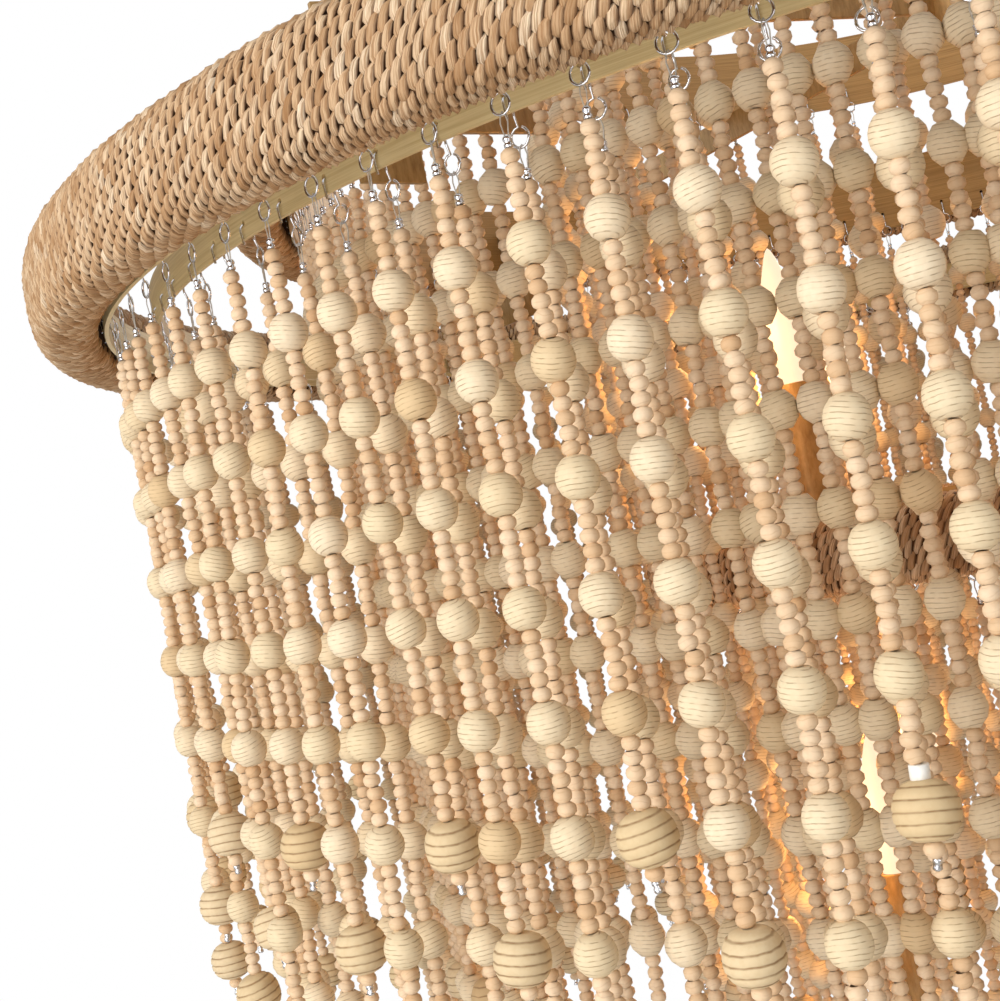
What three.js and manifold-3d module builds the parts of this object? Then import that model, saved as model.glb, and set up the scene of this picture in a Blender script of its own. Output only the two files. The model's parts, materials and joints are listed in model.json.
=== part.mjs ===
// Beaded chandelier, about 1.3 m across, in millimetres with +Z up.
// The origin is the centre of the ceiling plate's top face, so everything hangs below z = 0.
// Heights of the frame are given from the hook plane: the height at which the outer
// row of bead strands hangs from its lower hooks.
import * as THREE from 'three';
import { mergeVertices } from 'three/addons/utils/BufferGeometryUtils.js';
import Module from 'manifold-3d';

const wasm = await Module();
wasm.setup();

// Shared fits: the air between two touching pieces and the play in a hung loop
const CLEARANCE = 0.3;
const LOOP_PLAY = 0.5;

// Ceiling plate, its stud and nut
const plate = {
  radius: 55, thickness: 3, wireHoleRadius: 7, wireHoleOffset: 27,
  slotOffset: 43, slotRadius: 2.6, slotLength: 14, segments: 24,
};
const stud = { radius: 4.8, length: 38, seat: 10 };
const studNut = { radius: 9.5, height: 6, sides: 6 };

// Domed canopy that hides the plate, and the screw collar that holds it up
const canopy = { radius: 75, height: 36, skirt: 9, wall: 1.5, holePlay: 1.5, segments: 24 };
const collar = { wall: 6.6, height: 7 };

// The hung pieces between ceiling and stem: round loops in steel wire and one long link
const loop = { wire: 2.6, radius: 10, neckRadius: 4, neckLength: 3, sides: 6, steps: 14 };
const ceilingBoss = { radius: 13, height: 16, segments: 16 };
const link = { radius: 13, straight: 14 };
const swivelBoss = { radius: 10, height: 18, floor: 4 };

// Stem: two rods joined by a coupler; the upper one ends in a headed spigot that turns in
// the swivel and hangs from its head
const stem = {
  radius: 6.5, upperLength: 150, lowerLength: 197, spigotRadius: 4.2, headRadius: 6, headHeight: 4,
  segments: 12,
};
const coupler = { wall: 3.2, height: 26 };

// Woven rims: a rounded section wrapped on a flat steel band
const rim = { depth: 42, roundness: 3, sectionPoints: 8 };
const mainRim = { outerRadius: 652, height: 65, centreHeight: 24.5, segments: 44 };
const crownRim = { outerRadius: 525, height: 65, centreHeight: 93, segments: 44 };
const lowerRim = { outerRadius: 290, height: 48, centreHeight: -210, segments: 28 };

// Flat bands that carry the hooks, each with its row of strands. A band reaches above and
// below the middle of its rim; count is the whole row, of which every step-th strand is here.
const band = { thickness: 2.5 };
const outerRow = {
  ring: mainRim, above: 9.5, below: 26.5, count: 102, step: 2, phaseShare: -0.075,
  bigBeads: [6, 7, 5], beaded: true,
};
const innerRow = {
  ring: mainRim, above: 3.5, below: 22.5, count: 96, step: 4, phaseShare: 0.1, bigBeads: [8, 10, 9],
  setback: 28.2,
};
const crownRow = {
  ring: crownRim, above: 37, below: 28, count: 80, step: 4, phaseShare: 0, bigBeads: [9, 11, 10],
};
const lowerRow = {
  ring: lowerRim, above: 21, below: 22, count: 40, step: 2, phaseShare: 0.5, bigBeads: [6, 8, 7],
};

// The middle row has a band of its own, which stands on the bars of the crown's spider
const centreRow = {
  radius: 309.5, height: 60, segments: 28, count: 52, step: 4, phaseShare: 0.5, bigBeads: [12, 14, 13],
};
const tieLug = { count: 8, height: 12, thickness: 4, drop: 3, phaseShare: 0.25 };

// Beads: five small ones between big ones, a larger one at the end
const bead = {
  smallRadius: 4, smallHeight: 5.9, smallPerRun: 5, bigRadius: 9, bigHeight: 17.4,
  endRadius: 12.5, endHeight: 22, sides: 3, hookDrop: 14.5, hookRise: 11, hookBite: 2,
};

// Spiders: a hub with four flat bars on edge
const ARM_COUNT = 4;
const arm = { thickness: 4, height: 22 };
const crownHub = { radius: 28, height: 40, boreDepth: 16 };
const armHub = { radius: 22, height: 34, boreDepth: 12 };
const column = { radius: 8, segments: 12, hubSegments: 16 };

// Risers: flat bars on edge, cut from plate, that carry the crown over the main ring
const riser = {
  thickness: 4, footLift: 1, footHeight: 24, footWidth: 38, shoulderRise: 23, kneeFall: 27,
  headWidth: 30, headRise: 44, headFall: 8, phaseShare: 0.194,
};

// Candles: lampholder with its cup, a plain sleeve and a candle bulb. The upper tier's bars
// lie a little under the middle of the lower rim, and the lower tier hangs under the upper.
const candle = { circleRadius: 205, barDrop: 2.3, tierDrop: 310, segments: 8 };
const sleeve = { radius: 13, wall: 1.6, length: 92 };
const cup = { radius: 19, height: 11, footRadius: 9, recess: 5 };
const holder = { wall: 2.2, floor: 4, endPlay: 2, postRadius: 5, setback: 1 };
const bulb = {
  baseRadius: 6.7, baseLength: 22, neckRadius: 8, glassRadius: 15, glassHeight: 88,
  shapeShares: [[0.09, 0.62], [0.3, 1], [0.5, 0.93], [0.72, 0.6], [0.9, 0.24]],
};

// Turned finial under the lower spider: shares of its length from the top and of its radius
const finial = {
  radius: 17, length: 46, neckRadius: 6, studRadius: 4,
  dropShares: [[0.92, 0.35], [0.7, 0.8], [0.5, 1], [0.3, 0.8]],
  capShares: [[0.1, 0.8], [0, 0.8]], neckShare: 0.18,
};

// Colours taken as the eye sees them on each material
const finishes = {
  seagrass: new THREE.MeshStandardMaterial({ color: 0xd0ab86, roughness: 0.85, metalness: 0 }),
  wood: new THREE.MeshStandardMaterial({ color: 0xebd2b0, roughness: 0.7, metalness: 0 }),
  gold: new THREE.MeshStandardMaterial({ color: 0xac8c5f, roughness: 0.45, metalness: 0.6 }),
  steel: new THREE.MeshStandardMaterial({ color: 0xc8c8c6, roughness: 0.3, metalness: 1 }),
  glass: new THREE.MeshStandardMaterial({ color: 0xfff1d0, roughness: 0.1, metalness: 0 }),
};

// Derived heights, from the ceiling down to the hook plane and the spiders
const bossTop = -(plate.thickness + stud.length - stud.seat);
const bossBottom = bossTop - ceilingBoss.height;
const ceilingLoopZ = bossBottom - loop.neckLength - loop.radius;
const ceilingBarZ = ceilingLoopZ - loop.radius;
const linkTopZ = ceilingBarZ + 2 * loop.wire + LOOP_PLAY;
const linkCentreZ = linkTopZ - link.radius - link.straight / 2;
const linkBarZ = linkCentreZ - link.radius - link.straight / 2;
const stemLoopZ = linkBarZ + 2 * loop.wire + LOOP_PLAY - loop.radius;
const swivelTop = stemLoopZ - loop.radius - loop.neckLength;
const swivelBottom = swivelTop - swivelBoss.height;
const stemTop = swivelBottom - CLEARANCE;
const stemJoint = stemTop - stem.upperLength;
const stemBottom = stemJoint - CLEARANCE - stem.lowerLength;
const rowTop = (row) => row.ring.centreHeight + row.above;
const rowBottom = (row) => row.ring.centreHeight - row.below;
const crownArmBottom = rowTop(crownRow) + CLEARANCE;
const centreBandBottom = crownArmBottom + arm.height + CLEARANCE;
const crownArmMiddle = crownArmBottom + arm.height / 2;
const crownHubTop = crownArmMiddle + crownHub.height / 2;
const crownHubBottom = crownHubTop - crownHub.height;
const hookZ = stemBottom - CLEARANCE + crownHub.boreDepth - crownHubTop;

// Radii of the bands, from the rims that they carry
const rimInner = (ring) => ring.outerRadius - rim.depth;
const bandUnder = (ring) => rimInner(ring) - CLEARANCE - band.thickness;
const apothem = (radius, segments) => radius * Math.cos(Math.PI / segments);
const boreFor = (radius, segments) => (radius + CLEARANCE) / Math.cos(Math.PI / segments);

// Removes seams and folded triangles, and turns the faces outwards
function tidy(geometry) {
  geometry.deleteAttribute('normal');
  geometry.deleteAttribute('uv');
  const merged = mergeVertices(geometry, CLEARANCE / 1000);
  const position = merged.getAttribute('position');
  const corner = [0, 1, 2].map(() => new THREE.Vector3());
  const kept = [];
  let volume = 0;
  for (let i = 0; i < merged.index.count; i += 3) {
    const face = [0, 1, 2].map((k) => merged.index.getX(i + k));
    if (new Set(face).size < 3) continue;
    corner.forEach((v, k) => v.fromBufferAttribute(position, face[k]));
    volume += corner[0].dot(corner[1].clone().cross(corner[2]));
    kept.push(face);
  }
  const outward = volume < 0 ? kept.map(([a, b, c]) => [a, c, b]) : kept;
  merged.setIndex(outward.flat());
  return merged;
}

function toSolid(geometry) {
  const closed = tidy(geometry);
  const vertProperties = new Float32Array(closed.getAttribute('position').array);
  const triVerts = new Uint32Array(closed.index.array);
  return new wasm.Manifold(new wasm.Mesh({ numProp: 3, vertProperties, triVerts }));
}

function toGeometry(solid) {
  const mesh = solid.getMesh();
  const geometry = new THREE.BufferGeometry();
  const points = new Float32Array(mesh.vertProperties);
  geometry.setAttribute('position', new THREE.BufferAttribute(points, mesh.numProp));
  geometry.setIndex(new THREE.BufferAttribute(new Uint32Array(mesh.triVerts), 1));
  return geometry;
}

const join = (...geometries) => toGeometry(geometries.map(toSolid).reduce((a, b) => a.add(b)));

// A profile of [radius, height] pairs turned about Z. One that leaves the axis is closed on itself.
function revolve(profile, segments) {
  const onAxis = profile[0][0] === 0;
  const points = (onAxis ? profile : [...profile, profile[0]]).map(([r, z]) => new THREE.Vector2(r, z));
  return tidy(new THREE.LatheGeometry(points, segments).rotateX(Math.PI / 2));
}

const disc = (radius, bottom, top, segments) => revolve(
  [[0, bottom], [radius, bottom], [radius, top], [0, top]], segments);

const tube = (inner, outer, bottom, top, segments) => revolve(
  [[inner, bottom], [outer, bottom], [outer, top], [inner, top]], segments);

// A box between two corners, then turned about Z
function block(low, high, angle = 0) {
  const size = high.map((value, k) => value - low[k]);
  const centre = high.map((value, k) => (value + low[k]) / 2);
  return tidy(new THREE.BoxGeometry(...size).translate(...centre).rotateZ(angle));
}

const armAngles = Array.from({ length: ARM_COUNT }, (_, i) => (2 * Math.PI * (i + 0.5)) / ARM_COUNT);

const chandelier = new THREE.Group();

function add(name, geometry, finish, place = [0, 0, 0]) {
  const mesh = new THREE.Mesh(geometry, finishes[finish]);
  mesh.name = name;
  mesh.position.set(...place);
  chandelier.add(mesh);
}

// Ceiling plate with two keyway slots and a wire hole beside its solid centre
function ceilingPlate() {
  const outline = new THREE.Shape().absarc(0, 0, plate.radius, 0, 2 * Math.PI);
  const wireHole = new THREE.Path().absarc(0, plate.wireHoleOffset, plate.wireHoleRadius, 0, 2 * Math.PI);
  outline.holes.push(wireHole);
  for (const side of [-1, 1]) {
    const x = side * plate.slotOffset;
    const half = plate.slotLength / 2;
    const slot = new THREE.Path();
    slot.absarc(x, half, plate.slotRadius, 0, Math.PI);
    slot.absarc(x, -half, plate.slotRadius, Math.PI, 2 * Math.PI);
    slot.closePath();
    outline.holes.push(slot);
  }
  const options = { depth: plate.thickness, bevelEnabled: false, curveSegments: plate.segments / 4 };
  return tidy(new THREE.ExtrudeGeometry(outline, options).translate(0, 0, -plate.thickness));
}

function hexNut() {
  const top = -plate.thickness - CLEARANCE;
  return tube(boreFor(stud.radius, studNut.sides), studNut.radius, top - studNut.height, top, studNut.sides);
}

// Canopy: a straight skirt that turns through a quarter ellipse to the centre hole
function canopyShell() {
  const arcSteps = 3;
  const top = -CLEARANCE;
  const holeRadius = ceilingBoss.radius + canopy.holePlay;
  const side = (inset) => {
    const points = [[canopy.radius - inset, top]];
    for (let i = 0; i <= arcSteps; i += 1) {
      const turn = (i / arcSteps) * (Math.PI / 2);
      const reach = canopy.radius - inset - holeRadius;
      const fall = canopy.height - canopy.skirt - inset;
      points.push([holeRadius + reach * Math.cos(turn), top - canopy.skirt - fall * Math.sin(turn)]);
    }
    return points;
  };
  return revolve([...side(0), ...side(canopy.wall).reverse()], canopy.segments);
}

const canopyBottom = -CLEARANCE - canopy.height;

function canopyCollar() {
  const top = canopyBottom - CLEARANCE;
  const bore = boreFor(ceilingBoss.radius, canopy.segments);
  return tube(bore, bore + collar.wall, top - collar.height, top, canopy.segments);
}

const wireRing = (z) => new THREE.TorusGeometry(loop.radius, loop.wire, loop.sides, loop.steps)
  .rotateX(Math.PI / 2).translate(0, 0, z);

// Boss with a blind bore for the stud, and the round loop under it
function ceilingLoop() {
  const bore = boreFor(stud.radius, ceilingBoss.segments);
  const neckEnd = bossBottom - loop.neckLength - loop.wire / 2;
  const boss = revolve([
    [0, neckEnd], [loop.neckRadius, neckEnd], [loop.neckRadius, bossBottom],
    [ceilingBoss.radius, bossBottom], [ceilingBoss.radius, bossTop], [bore, bossTop],
    [bore, bossTop - stud.seat - CLEARANCE], [0, bossTop - stud.seat - CLEARANCE],
  ], ceilingBoss.segments);
  return join(boss, wireRing(ceilingLoopZ));
}

// Long link: a round ring cut at its waist and drawn apart by the straight length
function hangingLink() {
  const ring = new THREE.TorusGeometry(link.radius, loop.wire, loop.sides, loop.steps);
  ring.rotateZ(Math.PI / loop.steps);
  const position = ring.getAttribute('position');
  for (let i = 0; i < position.count; i += 1) {
    position.setY(i, position.getY(i) + (Math.sign(position.getY(i)) * link.straight) / 2);
  }
  ring.rotateX(Math.PI / 2).rotateZ(Math.PI / 2).translate(0, 0, linkCentreZ);
  return tidy(ring);
}

// Swivel: loop over a boss that holds the head of the stem's spigot in a wider chamber
const chamberTop = swivelTop - swivelBoss.floor;
const headTop = chamberTop - CLEARANCE;
const headBottom = headTop - stem.headHeight;

function stemLoop() {
  const bore = boreFor(stem.spigotRadius, stem.segments);
  const chamber = boreFor(stem.headRadius, stem.segments);
  const lip = headBottom - CLEARANCE;
  const neckTop = swivelTop + loop.neckLength + loop.wire / 2;
  const boss = revolve([
    [0, chamberTop], [chamber, chamberTop], [chamber, lip], [bore, lip], [bore, swivelBottom],
    [swivelBoss.radius, swivelBottom], [swivelBoss.radius, swivelTop], [loop.neckRadius, swivelTop],
    [loop.neckRadius, neckTop], [0, neckTop],
  ], stem.segments);
  return join(boss, wireRing(stemLoopZ));
}

function stemUpper() {
  return revolve([
    [0, stemJoint], [stem.radius, stemJoint], [stem.radius, stemTop], [stem.spigotRadius, stemTop],
    [stem.spigotRadius, headBottom], [stem.headRadius, headBottom], [stem.headRadius, headTop],
    [0, headTop],
  ], stem.segments);
}

function stemCoupler() {
  const inner = boreFor(stem.radius, stem.segments);
  return tube(inner, inner + coupler.wall, stemJoint - coupler.height / 2,
    stemJoint + coupler.height / 2, stem.segments);
}

add('ceiling_plate', ceilingPlate(), 'gold');
add('ceiling_stud', disc(stud.radius, -plate.thickness - stud.length, -plate.thickness - CLEARANCE,
  stem.segments), 'steel');
add('stud_nut', hexNut(), 'steel');
add('ceiling_loop', ceilingLoop(), 'gold');
add('canopy', canopyShell(), 'gold');
add('canopy_collar', canopyCollar(), 'gold');
add('hanging_link', hangingLink(), 'gold');
add('stem_loop', stemLoop(), 'gold');
add('stem_upper', stemUpper(), 'gold');
add('stem_coupler', stemCoupler(), 'gold');
add('stem_lower', disc(stem.radius, stemBottom, stemJoint - CLEARANCE, stem.segments), 'gold');

// Woven rim: a superellipse section turned about Z
function wovenRim(ring) {
  const centre = ring.outerRadius - rim.depth / 2;
  const power = 2 / rim.roundness;
  const points = [];
  for (let i = 0; i < rim.sectionPoints; i += 1) {
    const turn = (2 * Math.PI * (i + 0.5)) / rim.sectionPoints;
    const stretch = 1 / Math.abs(Math.cos(Math.PI / rim.sectionPoints)) ** power;
    const x = Math.sign(Math.cos(turn)) * Math.abs(Math.cos(turn)) ** power;
    const z = Math.sign(Math.sin(turn)) * Math.abs(Math.sin(turn)) ** power;
    points.push([centre + (x * stretch * rim.depth) / 2, ring.centreHeight + (z * stretch * ring.height) / 2]);
  }
  return revolve(points, ring.segments);
}

// One strand hanging at the origin: a belly for each big bead and for the end bead
function strand(row, index) {
  const runHeight = bead.smallPerRun * bead.smallHeight;
  const bigCount = row.bigBeads[index % row.bigBeads.length];
  const beadTop = -bead.hookDrop;
  const profile = [[0, bead.hookRise], [bead.smallRadius, bead.hookRise]];
  let z = beadTop;
  for (let i = 0; i < bigCount && row.beaded; i += 1) {
    const belly = z - runHeight - bead.bigHeight / 2;
    profile.push([bead.smallRadius, belly + bead.bigHeight / 2 + bead.smallHeight]);
    profile.push([bead.bigRadius, belly]);
    z -= runHeight + bead.bigHeight;
  }
  z = beadTop - bigCount * (runHeight + bead.bigHeight) - runHeight;
  profile.push([bead.smallRadius, z + bead.smallHeight]);
  profile.push([bead.endRadius, z - bead.endHeight / 2]);
  profile.push([0, z - bead.endHeight - bead.smallHeight]);
  return revolve(profile, bead.sides).rotateZ(Math.PI / 2);
}

// A flat band with every second or fourth strand of its row joined to its inner face
function beadRow(row, innerRadius, segments, bottom, top) {
  const ring = tube(innerRadius, innerRadius + band.thickness, bottom, top, segments);
  const circle = apothem(innerRadius, segments) - bead.hookBite;
  const strands = [];
  for (let i = row.step / 2; i < row.count; i += row.step) {
    const angle = (2 * Math.PI * (i + row.phaseShare)) / row.count + Math.PI / ARM_COUNT;
    const place = [circle * Math.cos(angle), circle * Math.sin(angle), bottom];
    strands.push(strand(row, i).rotateZ(angle).translate(...place));
  }
  return [ring, ...strands];
}

const rimRow = (row, innerRadius) => beadRow(
  row, innerRadius, row.ring.segments, rowBottom(row), rowTop(row));

// Small lugs that tie the outer row's band to the inner row's band
function tieLugs(innerFace, outerFace) {
  const top = rowTop(innerRow) - tieLug.drop;
  return Array.from({ length: tieLug.count }, (_, i) => block(
    [innerFace - band.thickness / 2, -tieLug.thickness / 2, top - tieLug.height],
    [outerFace - CLEARANCE, tieLug.thickness / 2, top],
    (2 * Math.PI * (i + tieLug.phaseShare)) / tieLug.count));
}

// Hub with a blind bore above and below, and four bars that reach out to a radius
function spider(hub, hubTop, armBottom, reach, boreAbove, boreBelow) {
  const hubBottom = hubTop - hub.height;
  const above = boreFor(boreAbove, column.hubSegments);
  const below = boreFor(boreBelow, column.hubSegments);
  const body = revolve([
    [0, hubBottom + hub.boreDepth], [below, hubBottom + hub.boreDepth], [below, hubBottom],
    [hub.radius, hubBottom], [hub.radius, hubTop], [above, hubTop],
    [above, hubTop - hub.boreDepth], [0, hubTop - hub.boreDepth],
  ], column.hubSegments);
  const bars = armAngles.map((angle) => block(
    [hub.radius - arm.thickness, -arm.thickness / 2, armBottom],
    [reach, arm.thickness / 2, armBottom + arm.height], angle));
  return join(body, ...bars);
}

// Flat bar on edge in the radial plane: a foot on the inner face of the inner row's band, a
// body that passes under the crown rim and a head on the inner face of the crown's band
function riserBar(angle) {
  const foot = apothem(innerBand, mainRim.segments) - CLEARANCE;
  const head = apothem(crownBand, crownRim.segments) - CLEARANCE;
  const footBottom = rowBottom(innerRow) + riser.footLift;
  const footTop = footBottom + riser.footHeight;
  const headBottom = rowBottom(crownRow) - riser.headFall;
  const headTop = rowBottom(crownRow) + riser.headRise;
  const outline = new THREE.Shape([
    [foot, footBottom], [foot, footTop + riser.shoulderRise], [head, headBottom], [head, headTop],
    [head - riser.headWidth, headTop], [head - riser.headWidth, headBottom - riser.kneeFall],
    [foot - riser.footWidth, footTop], [foot - riser.footWidth, footBottom],
  ].map(([x, z]) => new THREE.Vector2(x, z)));
  const bar = new THREE.ExtrudeGeometry(outline, { depth: riser.thickness, bevelEnabled: false });
  return tidy(bar.translate(0, 0, -riser.thickness / 2).rotateX(Math.PI / 2).rotateZ(angle));
}

const hookPlane = [0, 0, hookZ];
const mainBand = bandUnder(mainRim);
const innerBand = mainBand - innerRow.setback - band.thickness;
const crownBand = bandUnder(crownRim);
const lowerBand = bandUnder(lowerRim);

add('crown_rim', wovenRim(crownRim), 'seagrass', hookPlane);
add('main_rim', wovenRim(mainRim), 'seagrass', hookPlane);
add('lower_rim', wovenRim(lowerRim), 'seagrass', hookPlane);
add('crown_bead_row', join(...rimRow(crownRow, crownBand)), 'wood', hookPlane);
add('centre_bead_row', join(...beadRow(centreRow, centreRow.radius, centreRow.segments,
  centreBandBottom, centreBandBottom + centreRow.height)), 'wood', hookPlane);
add('outer_bead_row', join(...rimRow(outerRow, mainBand)), 'wood', hookPlane);
add('inner_bead_row', join(...rimRow(innerRow, innerBand),
  ...tieLugs(apothem(innerBand + band.thickness, mainRim.segments), apothem(mainBand, mainRim.segments))),
'wood', hookPlane);
add('lower_bead_row', join(...rimRow(lowerRow, lowerBand)), 'wood', hookPlane);
armAngles.forEach((angle, i) => {
  const turn = angle + (2 * Math.PI * riser.phaseShare) / ARM_COUNT;
  add(`riser_${i + 1}`, riserBar(turn), 'gold', hookPlane);
});

// The frame's three spiders on one column, the candles on the lower two
const cupSeat = sleeve.length + cup.height - cup.recess;
const upperArmBottom = lowerRim.centreHeight - candle.barDrop - arm.height / 2;
const lowerArmBottom = upperArmBottom - candle.tierDrop;
const hubTopOver = (armBottom) => armBottom + arm.height / 2 + armHub.height / 2;
const upperHubTop = hubTopOver(upperArmBottom);
const lowerHubTop = hubTopOver(lowerArmBottom);
const lowerReach = candle.circleRadius + cup.footRadius;

add('crown_spider', spider(crownHub, crownHubTop, crownArmBottom,
  apothem(crownBand + band.thickness, crownRim.segments), stem.radius, column.radius), 'gold', hookPlane);
add('upper_candle_spider', spider(armHub, upperHubTop, upperArmBottom,
  apothem(lowerBand, lowerRim.segments) - CLEARANCE, column.radius, column.radius), 'gold', hookPlane);
add('lower_candle_spider', spider(armHub, lowerHubTop, lowerArmBottom,
  lowerReach, column.radius, finial.studRadius), 'gold', hookPlane);
add('column_upper', disc(column.radius, upperHubTop - armHub.boreDepth + CLEARANCE,
  crownHubBottom + crownHub.boreDepth - CLEARANCE, column.segments), 'gold', hookPlane);
add('column_lower', disc(column.radius, lowerHubTop - armHub.boreDepth + CLEARANCE,
  upperHubTop - armHub.height + armHub.boreDepth - CLEARANCE, column.segments), 'gold', hookPlane);

// Lampholder: a flared cup, a post inside the sleeve and the holder that the bulb screws into
function lampholder(top) {
  const seat = top - sleeve.length - CLEARANCE;
  const cupTop = seat + cup.recess;
  const cupBottom = cupTop - cup.height;
  const holderTop = top - holder.setback;
  const boreBottom = holderTop - bulb.baseLength - holder.endPlay;
  const bore = boreFor(bulb.baseRadius, candle.segments);
  const recessRadius = boreFor(sleeve.radius, candle.segments);
  return revolve([
    [0, cupBottom], [cup.footRadius, cupBottom], [cup.radius, cupTop], [recessRadius, cupTop],
    [recessRadius, seat], [holder.postRadius, seat], [holder.postRadius, boreBottom - holder.floor],
    [bore + holder.wall, boreBottom - holder.floor], [bore + holder.wall, holderTop], [bore, holderTop],
    [bore, boreBottom], [0, boreBottom],
  ], candle.segments);
}

// Candle bulb: a straight base in the holder and a glass drawn by shares of its own size
function candleBulb(top) {
  const seat = top - holder.setback;
  const glass = bulb.shapeShares.map(([rise, swell]) => [
    bulb.glassRadius * swell, seat + CLEARANCE + bulb.glassHeight * rise]);
  const shoulder = seat + CLEARANCE;
  return revolve([
    [0, seat - bulb.baseLength], [bulb.baseRadius, seat - bulb.baseLength], [bulb.baseRadius, shoulder],
    [bulb.neckRadius, shoulder], ...glass, [0, shoulder + bulb.glassHeight],
  ], candle.segments);
}

for (const [level, armBottom] of [['upper', upperArmBottom], ['lower', lowerArmBottom]]) {
  const top = armBottom + arm.height + CLEARANCE + cupSeat;
  armAngles.forEach((angle, i) => {
    const place = [candle.circleRadius * Math.cos(angle), candle.circleRadius * Math.sin(angle), hookZ];
    add(`lampholder_${level}_${i + 1}`, lampholder(top), 'gold', place);
    add(`candle_sleeve_${level}_${i + 1}`, tube(sleeve.radius - sleeve.wall, sleeve.radius,
      top - sleeve.length, top, candle.segments), 'gold', place);
    add(`bulb_${level}_${i + 1}`, candleBulb(top), 'glass', place);
  });
}

// Finial: a short stud up into the lower hub and a turned drop
function finialDrop() {
  const hubBottom = lowerHubTop - armHub.height;
  const top = hubBottom - CLEARANCE;
  const studTop = hubBottom + armHub.boreDepth - CLEARANCE;
  const turned = ([fall, swell]) => [finial.radius * swell, top - finial.length * fall];
  return revolve([
    [0, top - finial.length], ...finial.dropShares.map(turned),
    [finial.neckRadius, top - finial.length * finial.neckShare], ...finial.capShares.map(turned),
    [finial.studRadius, top], [finial.studRadius, studTop], [0, studTop],
  ], column.segments);
}

add('finial', finialDrop(), 'gold', hookPlane);

export default chandelier;
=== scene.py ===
# %% [markdown]
# # A beaded chandelier in Blender
#
# The object is a ring light: three woven rims, five rows of wooden bead strands that hang from
# flat metal bands, two tiers of candle lamps and a jointed suspension. Its construction comes
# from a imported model, called the frame here. Each cell below dresses one part of it: first a
# few words on what the part is and how it could be made, then the code that makes it.

# %% Load the frame
import json
import math

import bpy
import numpy as np
from mathutils import Euler, Matrix, Vector

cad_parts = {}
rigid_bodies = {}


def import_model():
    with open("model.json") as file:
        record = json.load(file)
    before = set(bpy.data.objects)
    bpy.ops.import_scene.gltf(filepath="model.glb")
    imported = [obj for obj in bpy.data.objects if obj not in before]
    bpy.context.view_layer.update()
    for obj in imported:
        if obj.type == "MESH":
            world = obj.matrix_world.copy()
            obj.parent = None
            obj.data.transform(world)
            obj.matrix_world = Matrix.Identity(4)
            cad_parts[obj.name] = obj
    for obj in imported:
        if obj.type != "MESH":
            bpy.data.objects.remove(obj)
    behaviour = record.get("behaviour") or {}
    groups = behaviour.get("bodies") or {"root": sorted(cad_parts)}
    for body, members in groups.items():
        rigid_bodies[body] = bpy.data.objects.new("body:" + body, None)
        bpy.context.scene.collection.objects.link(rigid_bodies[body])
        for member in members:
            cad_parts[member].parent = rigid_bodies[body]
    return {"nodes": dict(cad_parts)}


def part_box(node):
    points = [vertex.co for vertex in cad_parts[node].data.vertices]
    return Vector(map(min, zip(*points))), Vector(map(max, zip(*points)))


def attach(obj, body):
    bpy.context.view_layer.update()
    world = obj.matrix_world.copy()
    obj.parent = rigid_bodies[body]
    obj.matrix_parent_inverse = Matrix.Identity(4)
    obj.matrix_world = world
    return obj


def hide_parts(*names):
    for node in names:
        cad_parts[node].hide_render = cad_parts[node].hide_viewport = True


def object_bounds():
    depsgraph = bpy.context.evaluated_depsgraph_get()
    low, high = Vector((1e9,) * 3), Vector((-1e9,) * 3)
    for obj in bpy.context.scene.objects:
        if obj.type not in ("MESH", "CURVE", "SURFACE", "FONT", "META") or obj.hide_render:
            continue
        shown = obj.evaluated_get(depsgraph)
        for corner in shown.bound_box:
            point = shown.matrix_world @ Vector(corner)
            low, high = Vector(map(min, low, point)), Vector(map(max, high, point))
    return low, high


MM = 0.001
TURN = 2 * math.pi
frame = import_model()
cad_box = [list(corner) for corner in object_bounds()]
scene = bpy.context.scene
print("frame box", cad_box)

# %% [markdown]
# ## Sizes read from the frame
#
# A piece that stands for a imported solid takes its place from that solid's box, so that nothing
# is fitted by eye. All heights of the fixture are counted from the hook plane, which lies 8 mm
# above the main rim's underside.

# %% Sizes of the rims and bands
RIM_DEPTH = 42 * MM
RIM_ROUNDNESS = 3.0
BAND_GAP = 0.3 * MM
BAND_THICKNESS = 2.5 * MM
RIM_UNDER_HOOKS = 8 * MM
ARM_COUNT = 4


def ring_of(node):
    """Outer radius, underside and top of a ring-shaped node"""
    low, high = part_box(node)
    return {"radius": high.x, "bottom": low.z, "top": high.z}


main_ring = ring_of("main_rim")
crown_ring = ring_of("crown_rim")
lower_ring = ring_of("lower_rim")
HOOK_Z = main_ring["bottom"] + RIM_UNDER_HOOKS
print("hook plane at", round(HOOK_Z, 4))

# %% [markdown]
# ## Camera
#
# The photograph was taken from the hook side, close under the main rim and rolled to the left.
# A camera looks along its own -Z axis, so it is first stood upright facing +Y, then turned by
# the pan and the pitch, and last rolled about its own axis. The lens is the focal length in
# pixels times the sensor's width over the picture's longer side.

# %% Camera
PICTURE_HEIGHT_PX = 1001
FOCAL_PX = 1686.8
SENSOR_MM = 36.0
CAMERA_PLACE = Vector((0.0, -1.2127, HOOK_Z - 0.174))
CAMERA_PAN, CAMERA_PITCH, CAMERA_ROLL = 0.3183, 0.0334, -0.1985


def place_object(name, data):
    """A new object of this data, put in the scene"""
    piece = bpy.data.objects.new(name, data)
    scene.collection.objects.link(piece)
    return piece


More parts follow.
